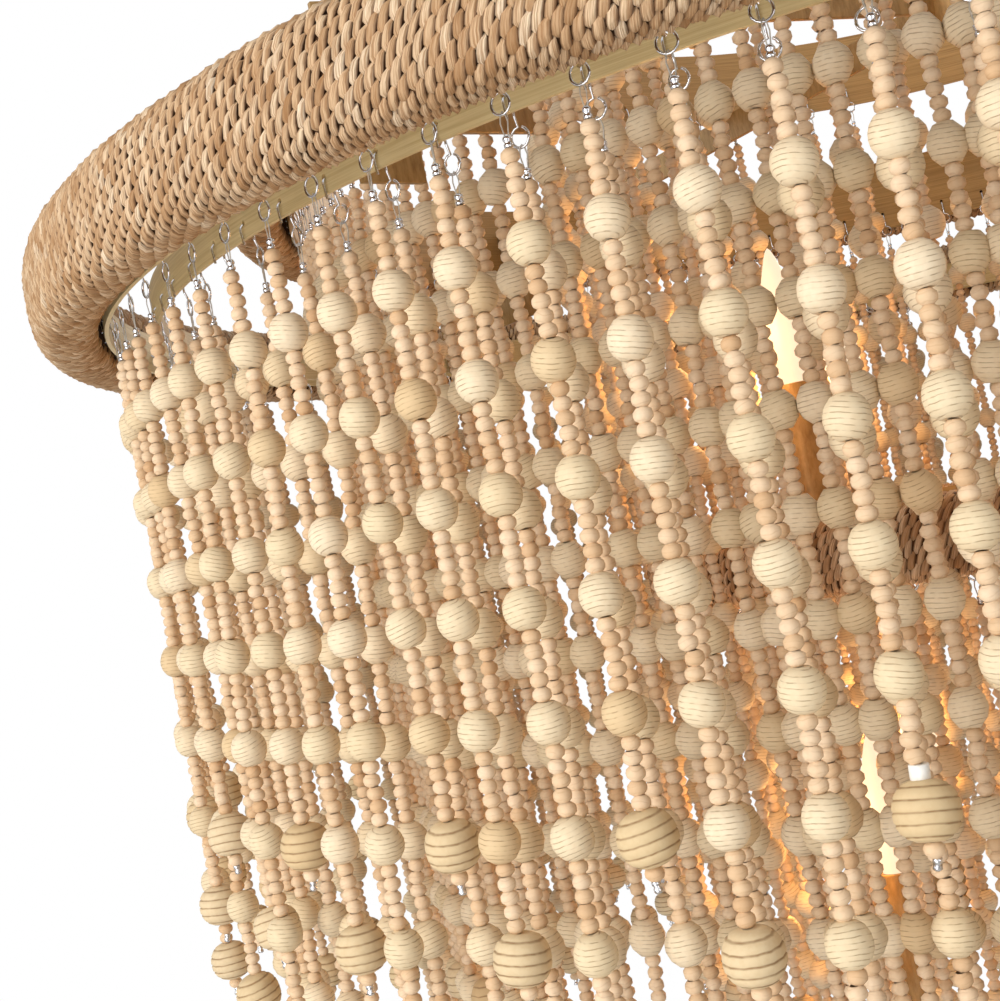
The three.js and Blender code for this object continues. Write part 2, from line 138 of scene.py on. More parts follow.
lens = bpy.data.cameras.new("photo_camera")
lens.sensor_width = SENSOR_MM
lens.lens = FOCAL_PX * SENSOR_MM / PICTURE_HEIGHT_PX
camera = place_object("photo_camera", lens)
upright = Euler((math.pi / 2 + CAMERA_PITCH, 0, CAMERA_PAN)).to_matrix()
rolled = (upright @ Matrix.Rotation(CAMERA_ROLL, 3, "Z")).to_4x4()
camera.matrix_world = Matrix.Translation(CAMERA_PLACE) @ rolled
scene.camera = camera
scene.view_settings.view_transform = "Standard"
print("camera at", tuple(round(value, 3) for value in CAMERA_PLACE))

# %% [markdown]
# ## Helpers for materials
#
# Colours are written as the hex values that a colour picker shows, and one function turns them
# into the linear values that the renderer mixes. A finish then reads as a short recipe: each
# step adds one node and hands on what the node puts out. The size of a pattern is given in
# real millimetres.

# %% Colour and node helpers


def hex_colour(text):
    """Linear RGBA of an sRGB hex value"""
    channels = [int(text[i:i + 2], 16) / 255 for i in (0, 2, 4)]
    return (*(c / 12.92 if c <= 0.04045 else ((c + 0.055) / 1.055) ** 2.4 for c in channels), 1.0)


def new_node(owner, kind, inputs=None, **settings):
    """A node with its settings; an input is a plain value or the socket that feeds it"""
    tree = owner.node_tree
    node = tree.nodes.new("ShaderNode" + kind)
    for key, value in settings.items():
        setattr(node, key, value)
    for key, value in (inputs or {}).items():
        if isinstance(value, bpy.types.NodeSocket):
            tree.links.new(value, node.inputs[key])
        else:
            node.inputs[key].default_value = value
    return node


class Finish:
    """A material under construction"""

    def __init__(self, name, **values):
        self.material = bpy.data.materials.new(name)
        self.material.use_nodes = True
        self.shader = self.material.node_tree.nodes["Principled BSDF"]
        for key, value in values.items():
            self.shader.inputs[key.replace("_", " ")].default_value = value

    def add(self, kind, inputs=None, **settings):
        return new_node(self.material, kind, inputs, **settings).outputs

    def place(self):
        return self.add("TexCoord")["Object"]

    def tone(self):
        """The number that each copy of a bead or leaf carries"""
        return self.add("Attribute", attribute_name="tone")["Fac"]

    def map_split(self):
        """The two values of the piece's UV map, as X and Y"""
        return self.add("SeparateXYZ", {"Vector": self.add("UVMap")["UV"]})

    def maths(self, operation, *values):
        return self.add("Math", dict(enumerate(values)), operation=operation)[0]

    def noise(self, place, size, detail=2.0, roughness=0.5):
        """Noise whose marks have this size, in the place's own unit"""
        return self.add("TexNoise", {"Vector": place, "Scale": 1 / size, "Detail": detail,
                                     "Roughness": roughness})["Fac"]

    def stretched(self, place, scale):
        return self.add("Mapping", {"Vector": place, "Scale": scale})["Vector"]

    def spread(self, value, low, high, start, end):
        """Turns low into start and high into end, and stays within them"""
        return self.add("MapRange", {"Value": value, "From Min": low, "From Max": high,
                                     "To Min": start, "To Max": end})["Result"]

    def mix(self, share, first, second):
        return self.add("Mix", {0: share, 6: first, 7: second}, data_type="RGBA")[2]

    def ramp(self, factor, *stops):
        """A colour ramp with stops of (position, hex value)"""
        node = new_node(self.material, "ValToRGB", {"Fac": factor})
        ramp = node.color_ramp
        while len(ramp.elements) < len(stops):
            ramp.elements.new(0.5)
        for element, (position, value) in zip(ramp.elements, stops):
            element.position = position
            element.color = hex_colour(value)
        return node.outputs["Color"]

    def done(self, colour, height=None, relief=0.0):
        """Feeds the colour, and a height pattern with this relief in metres, to the shader"""
        links = self.material.node_tree.links
        links.new(colour, self.shader.inputs["Base Color"])
        if height:
            bump = self.add("Bump", {"Height": height, "Distance": relief, "Strength": 1.0})
            links.new(bump["Normal"], self.shader.inputs["Normal"])
        return self.material


# %% [markdown]
# ## Turned wooden beads
#
# The beads are turned from a pale, soft wood and only sanded, so they are matt. Their growth
# rings lie nearly square to the hole and read as thin dark lines, about 2 mm apart on the big
# beads and broken where the grain is soft. The lines follow the bead's own UV map: its second
# value runs from hole to hole, and a sine of the first one tilts the lines a little. A number
# stored on each bead, its tone, shifts them and the colour, so that no two beads are alike. On
# the end bead the dark lines sit in its grooves instead, as painted shade.

# %% Wood materials
SMALL_RADIUS, SMALL_HEIGHT = 4.0 * MM, 5.9 * MM
BIG_RADIUS, BIG_HEIGHT = 9.0 * MM, 17.4 * MM
END_RADIUS, END_HEIGHT = 12.5 * MM, 22.0 * MM
# The end bead has five grooves, at the middles of five equal shares of its height
GROOVE_LEVELS = (-0.8, -0.4, 0.0, 0.4, 0.8)
SMALL_LINE_GAP, BIG_LINE_GAP = 2.95 * MM, 2.122 * MM
WANDER_SIZE, BREAK_SIZE, MOTTLE_SIZE = 6.667 * MM, 4.167 * MM, 2.381 * MM
TURN_PER_TONE = 40.0
LINE_CORE, LINE_EDGE = 0.02, 0.13
MOTTLE_SHARE = 0.22


def bead_wood(name, colours, lines, tilt, waver, unbroken, line_share, drift, relief):
    """Matt wood in a light, middle and dark colour, with darker lines from hole to hole

    A line is never fainter than unbroken; drift moves the lines on from bead to bead.
    """
    light, middle, dark, line = colours
    wood = Finish(name, Roughness=0.68, Specular_IOR_Level=0.3)
    tone, place, split = wood.tone(), wood.place(), wood.map_split()
    turn = wood.maths("MULTIPLY_ADD", split["X"], TURN, wood.maths("MULTIPLY", tone, TURN_PER_TONE))
    level = wood.maths("MULTIPLY_ADD", split["Y"], lines, wood.maths("MULTIPLY", tone, drift))
    tilted = wood.maths("MULTIPLY_ADD", wood.maths("SINE", turn), tilt, level)
    bent = wood.maths("MULTIPLY_ADD", wood.noise(place, WANDER_SIZE, 1.0), waver, tilted)
    off_line = wood.maths("ABSOLUTE", wood.maths("SUBTRACT", wood.maths("FRACT", bent), 0.5))
    line_here = wood.spread(off_line, LINE_CORE, LINE_EDGE, 1.0, 0.0)
    whole = wood.spread(wood.noise(place, BREAK_SIZE, 1.0), 0.38, 0.58, unbroken, 1.0)
    lined = wood.maths("MULTIPLY", line_here, whole)
    body = wood.ramp(tone, (0.0, dark), (0.35, middle), (1.0, light))
    patchy = wood.spread(wood.noise(place, MOTTLE_SIZE), 0.4, 0.75, 0.0, MOTTLE_SHARE)
    mottled = wood.mix(patchy, body, hex_colour(dark))
    colour = wood.mix(wood.maths("MULTIPLY", lined, line_share), mottled, hex_colour(line))
    return wood.done(colour, wood.maths("MULTIPLY", lined, -1.0), relief)


small_wood = bead_wood(
    "small turned wood bead, sanded", ("e4cdb1", "dabd9b", "c8a27a", "a98258"),
    lines=SMALL_HEIGHT / SMALL_LINE_GAP, tilt=0.3, waver=1.1, unbroken=0.15, line_share=0.25,
    drift=29.0, relief=0.03 * MM)
big_wood = bead_wood(
    "big turned wood bead with growth rings", ("e7d6bb", "deccab", "d1b389", "8c6a44"),
    lines=BIG_HEIGHT / BIG_LINE_GAP, tilt=0.5, waver=0.45, unbroken=0.15, line_share=0.62,
    drift=17.0, relief=0.14 * MM)
# Painted shade: the end bead's dark lines sit in its five grooves, one line to each
end_wood = bead_wood(
    "end bead, turned with grooves", ("decbab", "d3bc95", "c19f73", "83603a"),
    lines=len(GROOVE_LEVELS), tilt=0.0, waver=0.12, unbroken=0.7, line_share=0.8,
    drift=0.0, relief=0.12 * MM)
print("woods:", small_wood.name, "/", big_wood.name, "/", end_wood.name)

# %% [markdown]
# ## Plaited seagrass
#
# The rims are wrapped in a two-ply cord of dried grass. Each turn of a ply shows as a long leaf
# shape. The leaves are real geometry, made further down; the material adds what is finer: the
# fibres that run along each leaf, a tone of its own per leaf, and painted shade that darkens
# the hollow where the leaf dips under its neighbour. The UV map says how near the leaf's edge is.

# %% Seagrass material
LEAF_HALF_LENGTH, LEAF_HALF_WIDTH, LEAF_RISE = 7.0 * MM, 2.9 * MM, 2.2 * MM
FIBRE_WIDTH = 0.446 * MM
FIBRE_SHIFT_PER_TONE = 91.0

grass = Finish("plaited seagrass, dried and pinkish tan", Roughness=0.66, Specular_IOR_Level=0.3)
grass_tone, grass_split = grass.tone(), grass.map_split()
grass_field = grass.add("CombineXYZ", {
    "X": grass_split["X"], "Y": grass_split["Y"],
    "Z": grass.maths("MULTIPLY", grass_tone, FIBRE_SHIFT_PER_TONE)})["Vector"]
# Fibres lie side by side across the leaf and run its whole length
fibres_across = 2 * LEAF_HALF_WIDTH / FIBRE_WIDTH
grass_fibre = grass.noise(grass.stretched(grass_field, (fibres_across, 1.0, 1.0)), 1.0, 3.0, 0.6)
grass_body = grass.ramp(grass_tone, (0.0, "a37e58"), (0.25, "c09d78"), (0.6, "d4b592"),
                        (0.85, "e3cbac"), (1.0, "f0dec4"))
grass_streak = grass.spread(grass_fibre, 0.40, 0.6, 0.75, 0.0)
grass_streaked = grass.mix(grass_streak, grass_body, hex_colour("94693f"))
# Painted shade: each leaf turns dark brown towards its long edges, where it dips under its
# neighbour
grass_edge = grass.maths("ABSOLUTE", grass.maths("SUBTRACT", grass_split["X"], 0.5))
grass_painted_dip_shade = grass.spread(grass_edge, 0.24, 0.46, 0.0, 0.97)
seagrass = grass.done(grass.mix(grass_painted_dip_shade, grass_streaked, hex_colour("4c2e15")), grass_fibre,
                      0.5 * MM)

shade = Finish("seagrass in shadow under the wrap", Roughness=0.9)
rim_core = shade.done(shade.ramp(shade.noise(shade.place(), 3.333 * MM), (0.3, "36200f"),
                                 (0.7, "5c3a1e")))
print("seagrass with", round(fibres_across), "fibres across a leaf")

# %% [markdown]
# ## Metals, thread, glass
#
# The bands, bars and candle parts are steel with a champagne gold lacquer that was brushed
# along the strip: a metal with streaks stretched along its length. The hooks and crimps are
# bright nickel, the thread is clear nylon, and the bulbs are frosted glass lit from within.

# %% Metal materials


def brushed_metal(name, base, streak, metallic, roughness, streaks):
    """Metal with streaks of this size along X, Y and Z"""
    metal = Finish(name, Metallic=metallic, Roughness=roughness)
    scale = [1 / size for size in streaks]
    noise = metal.noise(metal.stretched(metal.place(), scale), 1.0, 4.0, 0.65)
    return metal.done(metal.ramp(noise, (0.3, streak), (0.62, base)), noise, 0.06 * MM)


STRIP_STREAKS = (71.43 * MM, 71.43 * MM, 1.111 * MM)
BAR_STREAKS = (3.846 * MM, 3.846 * MM, 11.11 * MM)
# Painted light: this pale copy of the lacquer, for the outer and inner bands, is lightened to stand
# in for light that the rim's shade takes away
champagne = brushed_metal("champagne gold lacquer on brushed steel strip", "e2cf9f", "c9b27e",
                          0.15, 0.45, STRIP_STREAKS)
# Painted shade: a darker copy of the same lacquer for the crown, centre and lower bands, which lie
# in the strands' shadow deep inside
champagne_painted_shade = brushed_metal("champagne lacquer in painted shade on the inner strips", "b18f5b",
                               "8e6f42", 0.3, 0.45, STRIP_STREAKS)
champagne_bar = brushed_metal("champagne gold lacquer on steel bar", "ad8b58", "8b6a3d",
                              0.4, 0.38, BAR_STREAKS)


def plain_finish(name, base, fleck, size, relief, **values):
    """A finish of one colour with faint flecks of this size and a slight unevenness"""
    plain = Finish(name, **values)
    noise = plain.noise(plain.place(), size)
    return plain.done(plain.ramp(noise, (0.35, fleck), (0.65, base)), noise, relief)


nickel = plain_finish("bright nickel wire", "dcdcde", "c3c3c8", 1.111 * MM, 0.01 * MM,
                      Metallic=1.0, Roughness=0.14)
zinc = plain_finish("zinc plated steel", "c9cac8", "b4b6b5", 3.333 * MM, 0.02 * MM,
                    Metallic=1.0, Roughness=0.35)
nylon = plain_finish("clear nylon thread", "d9d4cb", "bdb6aa", 2 * MM, 0.01 * MM,
                     Roughness=0.3, Transmission_Weight=0.35)
white_ferrule = plain_finish("white nylon ferrule", "f2f1ee", "e6e5e1", 2.5 * MM, 0.02 * MM,
                             Roughness=0.4)
bulb_glass = plain_finish("frosted bulb glass, lit", "8f8270", "837560", 16.667 * MM, 0.01 * MM,
                          Roughness=0.25, Emission_Color=hex_colour("ffeccb"),
                          Emission_Strength=0.9)
print(len(bpy.data.materials), "materials")

# %% [markdown]
# ## Helpers for modelling
#
# Blender's operators act on whatever is selected, and the frame's nodes come in selected. So
# each step first selects just what it works on. A finished piece keeps its place in its mesh
# and its object at the origin, as the frame's nodes do.

# %% Modelling helpers
WELD = 0.01 * MM


def select_only(*pieces):
    """Selects these pieces and no others, out of edit mode; the last one is active"""
    if bpy.context.object and bpy.context.object.mode != "OBJECT":
        bpy.ops.object.mode_set(mode="OBJECT")
    bpy.ops.object.select_all(action="DESELECT")
    for piece in pieces:
        piece.select_set(True)
        bpy.context.view_layer.objects.active = piece


def just_added(name, material=None):
    """The primitive that an operator has just added, named and with its material"""
    piece = bpy.context.object
    piece.name = piece.data.name = name
    piece.data.materials.append(material or champagne_bar)
    return piece


def edit(piece):
    """Opens a piece in edit mode with all its points selected"""
    select_only(piece)
    bpy.ops.object.mode_set(mode="EDIT")
    bpy.ops.mesh.select_mode(type="VERT")
    bpy.ops.mesh.select_all(action="SELECT")


def pick(piece, items, kind, test):
    """Selects those of a piece's vertices or faces that pass the test, in edit mode"""
    bpy.ops.mesh.select_mode(type=kind)
    bpy.ops.mesh.select_all(action="DESELECT")
    bpy.ops.object.mode_set(mode="OBJECT")
    for item in items:
        item.select = test(item)
    bpy.ops.object.mode_set(mode="EDIT")


def settle(piece, smooth_angle=35):
    """Leaves edit mode, applies the object's place and shades it smooth up to an angle"""
    select_only(piece)
    bpy.ops.object.transform_apply(location=True, rotation=True, scale=True)
    bpy.ops.object.shade_smooth_by_angle(angle=math.radians(smooth_angle))
    return piece


def apply_modifier(piece, kind, **settings):
    select_only(piece)
    modifier = piece.modifiers.new(kind.lower(), kind)
    for key, value in settings.items():
        setattr(modifier, key, value)
    bpy.ops.object.modifier_apply(modifier=modifier.name)


def dress(piece, *nodes, body="fixture", slot="gold"):
    """Puts a piece on its body and hides the solids that it stands for; its slot is not used"""
    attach(piece, body)
    if nodes:
        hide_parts(*nodes)
    return piece


def turned(name, profile, material=None, steps=48, centre=(0, 0), smooth_angle=40):
    """Draws a profile of (radius, height) by extruding a vertex, and spins it about Z"""
    select_only()
    bpy.ops.mesh.primitive_plane_add(size=MM)
    piece = just_added(name, material)
    edit(piece)
    bpy.ops.mesh.merge(type="CENTER")
    first = profile[0]
    bpy.ops.transform.translate(value=(first[0], 0, first[1]))
    for before, after in zip(profile, profile[1:]):
        step = (after[0] - before[0], 0, after[1] - before[1])
        bpy.ops.mesh.extrude_region_move(TRANSFORM_OT_translate={"value": step})
    bpy.ops.mesh.select_all(action="SELECT")
    bpy.ops.mesh.spin(steps=steps, angle=TURN, axis=(0, 0, 1), center=(0, 0, 0))
    bpy.ops.mesh.select_all(action="SELECT")
    bpy.ops.mesh.remove_doubles(threshold=WELD)
    bpy.ops.mesh.normals_make_consistent(inside=False)
    bpy.ops.transform.translate(value=(centre[0], centre[1], 0))
    return settle(piece, smooth_angle)


def ring_profile(inner, outer, bottom, top, bevel=0.4 * MM):
    """A closed profile of a plain ring with its four corners broken"""
    return [
        (inner + bevel, bottom), (outer - bevel, bottom), (outer, bottom + bevel),
        (outer, top - bevel), (outer - bevel, top), (inner + bevel, top),
        (inner, top - bevel), (inner, bottom + bevel), (inner + bevel, bottom),
    ]


def over(foot, profile):
    """A profile in millimetres, moved up to stand on its foot"""
    return [(wide * MM, foot + high * MM) for wide, high in profile]


# %% [markdown]
# ## Copying what repeats
#
# The chandelier has about 27,000 beads and as many leaves. Each kind of bead is modelled once,
# and its copies are moved, turned and written into one mesh in a single step, with a tone of
# its own for each copy. That keeps the scene quick and each bead a real shape.

# %% Batches of copies


class Batch:
    """A mesh gathered from many copies of one layout of faces, or of several"""

    def __init__(self):
        self.gathered = {key: [] for key in ("co", "corner", "start", "uv", "slot", "tone")}
        self.materials = []
        self.point_count = self.corner_count = 0

    def put(self, points, corner, start, uv, slot, tones, materials):
        """Adds one copy of a layout for each row of points"""
        count, size = points.shape[:2]
        copy = np.arange(count)[:, None]
        for key, values in (
                ("co", points), ("tone", np.repeat(tones, size)),
                ("corner", corner[None] + copy * size + self.point_count),
                ("start", start[None] + copy * len(corner) + self.corner_count),
                ("uv", np.tile(uv.ravel(), count)),
                ("slot", np.tile(slot + len(self.materials), count))):
            self.gathered[key].append(values.ravel())
        self.materials.extend(materials)
        self.point_count += size * count
        self.corner_count += len(corner) * count

    def finish(self, name):
        """Writes what was gathered into one new piece"""
        values = {key: np.concatenate(parts) for key, parts in self.gathered.items()}
        faces = len(values["start"])
        mesh = bpy.data.meshes.new(name)
        mesh.vertices.add(self.point_count)
        mesh.vertices.foreach_set("co", values["co"])
        mesh.loops.add(self.corner_count)
        mesh.loops.foreach_set("vertex_index", values["corner"])
        mesh.polygons.add(faces)
        mesh.polygons.foreach_set("loop_start", values["start"])
        mesh.uv_layers.new(name="UVMap").data.foreach_set("uv", values["uv"])
        for material in self.materials:
            mesh.materials.append(material)
        mesh.polygons.foreach_set("material_index", values["slot"])
        mesh.polygons.foreach_set("use_smooth", np.ones(faces, bool))
        mesh.attributes.new("tone", "FLOAT", "POINT").data.foreach_set("value", values["tone"])
        mesh.update(calc_edges=True)
        mesh.validate()
        print(name, "has", faces, "faces")
        return place_object(name, mesh)


def read(values, field, kind=int, width=1):
    """One field of all of a mesh's points, corners or faces, as an array"""
    array = np.empty(len(values) * width, kind)
    values.foreach_get(field, array)
    return array


def copy_out(name, copies):
    """One piece of all copies, which are (place, turn, tone) listed by their master's name"""
    batch = Batch()
    for master, listed in copies.items():
        mesh = bpy.data.objects[master].data
        places, turns, tones = (np.array([np.array(item) for item in part])
                                for part in zip(*listed))
        points = np.einsum("nij,vj->nvi", turns, read(mesh.vertices, "co", float, 3).reshape(-1, 3))
        uv = (read(mesh.uv_layers.active.data, "uv", float, 2) if mesh.uv_layers
              else np.zeros(len(mesh.loops) * 2))
        batch.put(points + places[:, None], read(mesh.loops, "vertex_index"),
                  read(mesh.polygons, "loop_start"), uv, read(mesh.polygons, "material_index"),
                  tones, mesh.materials)
    return batch.finish(name)


# %% [markdown]
# ## The beads
#
# A bead is turned on a lathe: a barrel with rounded shoulders and flat ends where it is
# drilled. So each is spun from a profile, given as shares of its radius and of its half height
# from the hole out to the belly and mirrored. The beads that hang near the outside get more
# faces than those deep inside. Each gets a UV map that runs round it and from hole to hole.

# %% Bead masters
SMALL_PER_RUN = 5


def map_along_axis(piece, height):
    """A UV map that runs once round the piece and from hole to hole"""
    mesh = piece.data
    layer = mesh.uv_layers.active or mesh.uv_layers.new(name="UVMap")
    for face in mesh.polygons:
        middle = math.atan2(face.center.y, face.center.x) / TURN
        for index in face.loop_indices:
            co = mesh.vertices[mesh.loops[index].vertex_index].co
            on_axis = math.hypot(co.x, co.y) < WELD
            around = middle if on_axis else math.atan2(co.y, co.x) / TURN
            around += round(middle - around)
            layer.data[index].uv = (around + 0.5, co.z / height + 0.5)
    return piece.name


def bead_master(name, material, radius, height, steps, upper_shares):
    """A bead spun from the shares of its upper half"""
    swell = 1 / math.cos(math.pi / steps / 2)
    upper = [(radius * swell * wide, height / 2 * high) for wide, high in upper_shares]
    lower = [(wide, -high) for wide, high in upper]
    belly = upper[-1:] if upper[-1][1] == 0 else []
    profile = lower[:len(lower) - len(belly)] + belly + upper[:len(upper) - len(belly)][::-1]
    return map_along_axis(turned(name, profile, material, steps, smooth_angle=180), height)


SMALL_NEAR = [(0.52, 1.0), (0.925, 0.52), (1.0, 0)]
SMALL_MID = [(0.54, 1.0), (0.965, 0.4)]
SMALL_FAR = [(0.58, 1.0), (1.05, 0)]
BIG_NEAR = [(0, 0.92), (0.40, 1.0), (0.71, 0.79), (0.92, 0.46), (1.0, 0.14)]
BIG_MID = [(0, 0.93), (0.44, 1.0), (0.80, 0.66), (0.99, 0.2)]
BIG_FAR = [(0, 0.94), (0.5, 1.0), (0.89, 0.5), (1.02, 0)]
masters = [bead_master(f"small_{where}", small_wood, SMALL_RADIUS, SMALL_HEIGHT, steps, shares)
           for where, steps, shares in (("near", 10, SMALL_NEAR), ("mid", 7, SMALL_MID),
                                        ("back", 5, SMALL_MID), ("far", 6, SMALL_FAR))]
masters += [bead_master(f"big_{where}", big_wood, BIG_RADIUS, BIG_HEIGHT, steps, shares)
            for where, steps, shares in (("near", 13, BIG_NEAR), ("mid", 10, BIG_MID),
                                         ("far", 8, BIG_FAR))]

GROOVE_HALF_SHARE = 0.07
GROOVE_DEPTH = 0.6 * MM
END_POWER, END_FALL_SHARE = 2.3, 0.86
END_FACE_SHARE, DIMPLE_SHARE = 0.92, 0.95


def end_bead_master(name, steps, grooved):
    """A big bead with grooves turned into it across the hole"""

    def wide_at(level):
        fall = abs(level) ** END_POWER * END_FALL_SHARE
        return END_RADIUS * (1 - fall) ** (1 / END_POWER)

    face = wide_at(1.0) * END_FACE_SHARE
    half = END_HEIGHT / 2
    profile = [(0, -half * DIMPLE_SHARE), (face, -half)]
    for level in GROOVE_LEVELS:
        for side in ((-1, 0, 1) if grooved else (0,)):
            here = level + side * GROOVE_HALF_SHARE
            depth = GROOVE_DEPTH if grooved and side == 0 else 0
            profile.append((wide_at(here) - depth, here * half))
    profile += [(face, half), (0, half * DIMPLE_SHARE)]
    return map_along_axis(turned(name, profile, end_wood, steps, smooth_angle=180), END_HEIGHT)


masters += [end_bead_master("end_near", 13, True), end_bead_master("end_far", 9, False)]
print("bead masters", masters)

# %% [markdown]
# ## Hooks, thread loops and crimps
#
# Each strand is threaded on clear nylon that ends in a loop, closed by a crimp with two ridges.
# The loop hangs in the round eye of an S-hook in thin wire, and the hook's upper end passes
# through a hole in the band. A wire is a curve given a thickness and then made a mesh.

# %% Hook, loop and crimp masters
WIRE_RADIUS = 0.64 * MM
THREAD_RADIUS = 0.35 * MM
THREAD_LOOP_WIDTH = 3.4 * MM
EYE_RADIUS = 4.4 * MM
EYE_DROP = 17.3 * MM
EYE_TO_BEADS = 18.2 * MM
HOLE_TO_BEADS = EYE_DROP + EYE_TO_BEADS
CRIMP_RADIUS, CRIMP_HEIGHT = 1.9 * MM, 5.2 * MM
# A strand hangs this far behind its band; the hook's upper bend rests in the hole
HANG_INSET = 3.4 * MM
BEND_RADIUS = 3.0 * MM
BEND_DROP = 3.6 * MM
FREE_END_DROP = 10.5 * MM
FREE_END_SHARE = 0.8
EYE_TURN = 1.86 * math.pi
CRIMP_SHARES = [(0, -1), (0.72, -1), (1, -0.75), (1, -0.3), (0.7, 0), (1, 0.3), (1, 0.75),
                (0.72, 1), (0, 1)]
# Half of the thread's loop, as shares of its half width and length, from the crimp up
LOOP_SHARES = [(0.5, 0), (1, 0.55), (0.6, 0.9)]
FERRULE_BORE, FERRULE_RADIUS = 1.2 * MM, 3.8 * MM


def wire(name, points, radius, material, sides):
    """A bent wire along a list of points"""
    data = bpy.data.curves.new(name, "CURVE")
    data.dimensions = "3D"
    data.bevel_depth = radius
    data.bevel_resolution = (sides - 4) // 2
    data.use_fill_caps = True
    spline = data.splines.new("POLY")
    spline.points.add(len(points) - 1)
    for target, point in zip(spline.points, points):
        target.co = (*point, 1)
    select_only(place_object(name, data))
    bpy.ops.object.convert(target="MESH")
    piece = bpy.context.object
    piece.data.materials.clear()
    piece.data.materials.append(material)
    bpy.ops.object.shade_smooth()
    return piece.name


def hook_master(name, bend_steps, eye_steps, sides):
    """Free end before the band, bend through the hole, leg behind it, round eye across it"""
    middle = HANG_INSET + BAND_THICKNESS / 2
    points = [(middle + BEND_RADIUS * FREE_END_SHARE, 0, -FREE_END_DROP)]
    for i in range(bend_steps + 1):
        turn = math.pi * i / bend_steps
        points.append((middle + BEND_RADIUS * math.cos(turn), 0,
                       -BEND_DROP + BEND_RADIUS * math.sin(turn)))
    points.append((middle / 3, 0, (-BEND_DROP - EYE_DROP + EYE_RADIUS) / 2))
    for i in range(eye_steps + 1):
        turn = math.pi / 2 + EYE_TURN * i / eye_steps
        points.append((0, EYE_RADIUS * math.cos(turn), -EYE_DROP + EYE_RADIUS * math.sin(turn)))
    return wire(name, points, WIRE_RADIUS, nickel, sides)


def crimp_master(name, sides):
    """A short sleeve pressed twice, which leaves two ridges"""
    profile = [(CRIMP_RADIUS * wide, CRIMP_HEIGHT / 2 * high) for wide, high in CRIMP_SHARES]
    return turned(name, profile, nickel, sides, smooth_angle=50).name


def loop_master(name, length):
    """The thread's loop: up one side, over the eye and down the other"""
    half = THREAD_LOOP_WIDTH / 2
    rising = [(0, -half * wide, length * high) for wide, high in LOOP_SHARES]
    falling = [(0, half * wide, length * high) for wide, high in LOOP_SHARES[::-1]]
    return wire(name, rising + [(0, 0, length)] + falling, THREAD_RADIUS, nylon, 4)


masters += [hook_master("hook_near", 6, 14, 6), hook_master("hook_far", 4, 8, 4)]
masters += [turned("ferrule", ring_profile(FERRULE_BORE, FERRULE_RADIUS, -SMALL_HEIGHT / 2,
                                           SMALL_HEIGHT / 2), white_ferrule, 20).name]
masters += [crimp_master("crimp_near", 8), crimp_master("crimp_far", 4)]
masters += [loop_master("loop", EYE_TO_BEADS - CRIMP_HEIGHT - EYE_RADIUS + 2 * WIRE_RADIUS)]
print(len(masters), "masters in all")

# %% [markdown]
# ## Rows of strands
#
# A strand is five small beads, a big one, five small, and so on, with a grooved bead near the
# end and one more small bead and a crimp under it. Neighbours step through three lengths,
# which makes the zigzag hem. No strand hangs like a ruler: each leans a little, wanders a
# little, and each bead sits askew on its thread. All of that is drawn from one seeded
# generator, so the scene is the same on every run.

# %% Strand builder
chance = np.random.default_rng(1417)
near_kit = {kind: f"{kind}_near" for kind in ("small", "big", "end", "hook", "crimp")}
near_kit["loop"] = "loop"
mid_kit = dict(near_kit, small="small_mid", big="big_mid")
far_kit = dict({kind: name.replace("near", "far") for kind, name in near_kit.items()})
back_kit = dict(far_kit, small="small_back")

LEAN_SPREAD = 0.006
WANDER_LEAST, WANDER_MOST = 0.3, 1.3
WANDER_WAVE, WANDER_ONSET = 70 * MM, 60 * MM
EYE_TURN_SPREAD = 0.35
BEAD_PLAY = 0.3 * MM
METAL_TONE = 0.5
# How far each kind sits askew, in radians: a spread, not a limit
SMALL_TILT, BIG_TILT, CRIMP_TILT, LAST_BEAD_TILT, LAST_CRIMP_TILT = 0.06, 0.09, 0.05, 0.1, 0.15
CRIMP_TUCK = 0.4 * MM


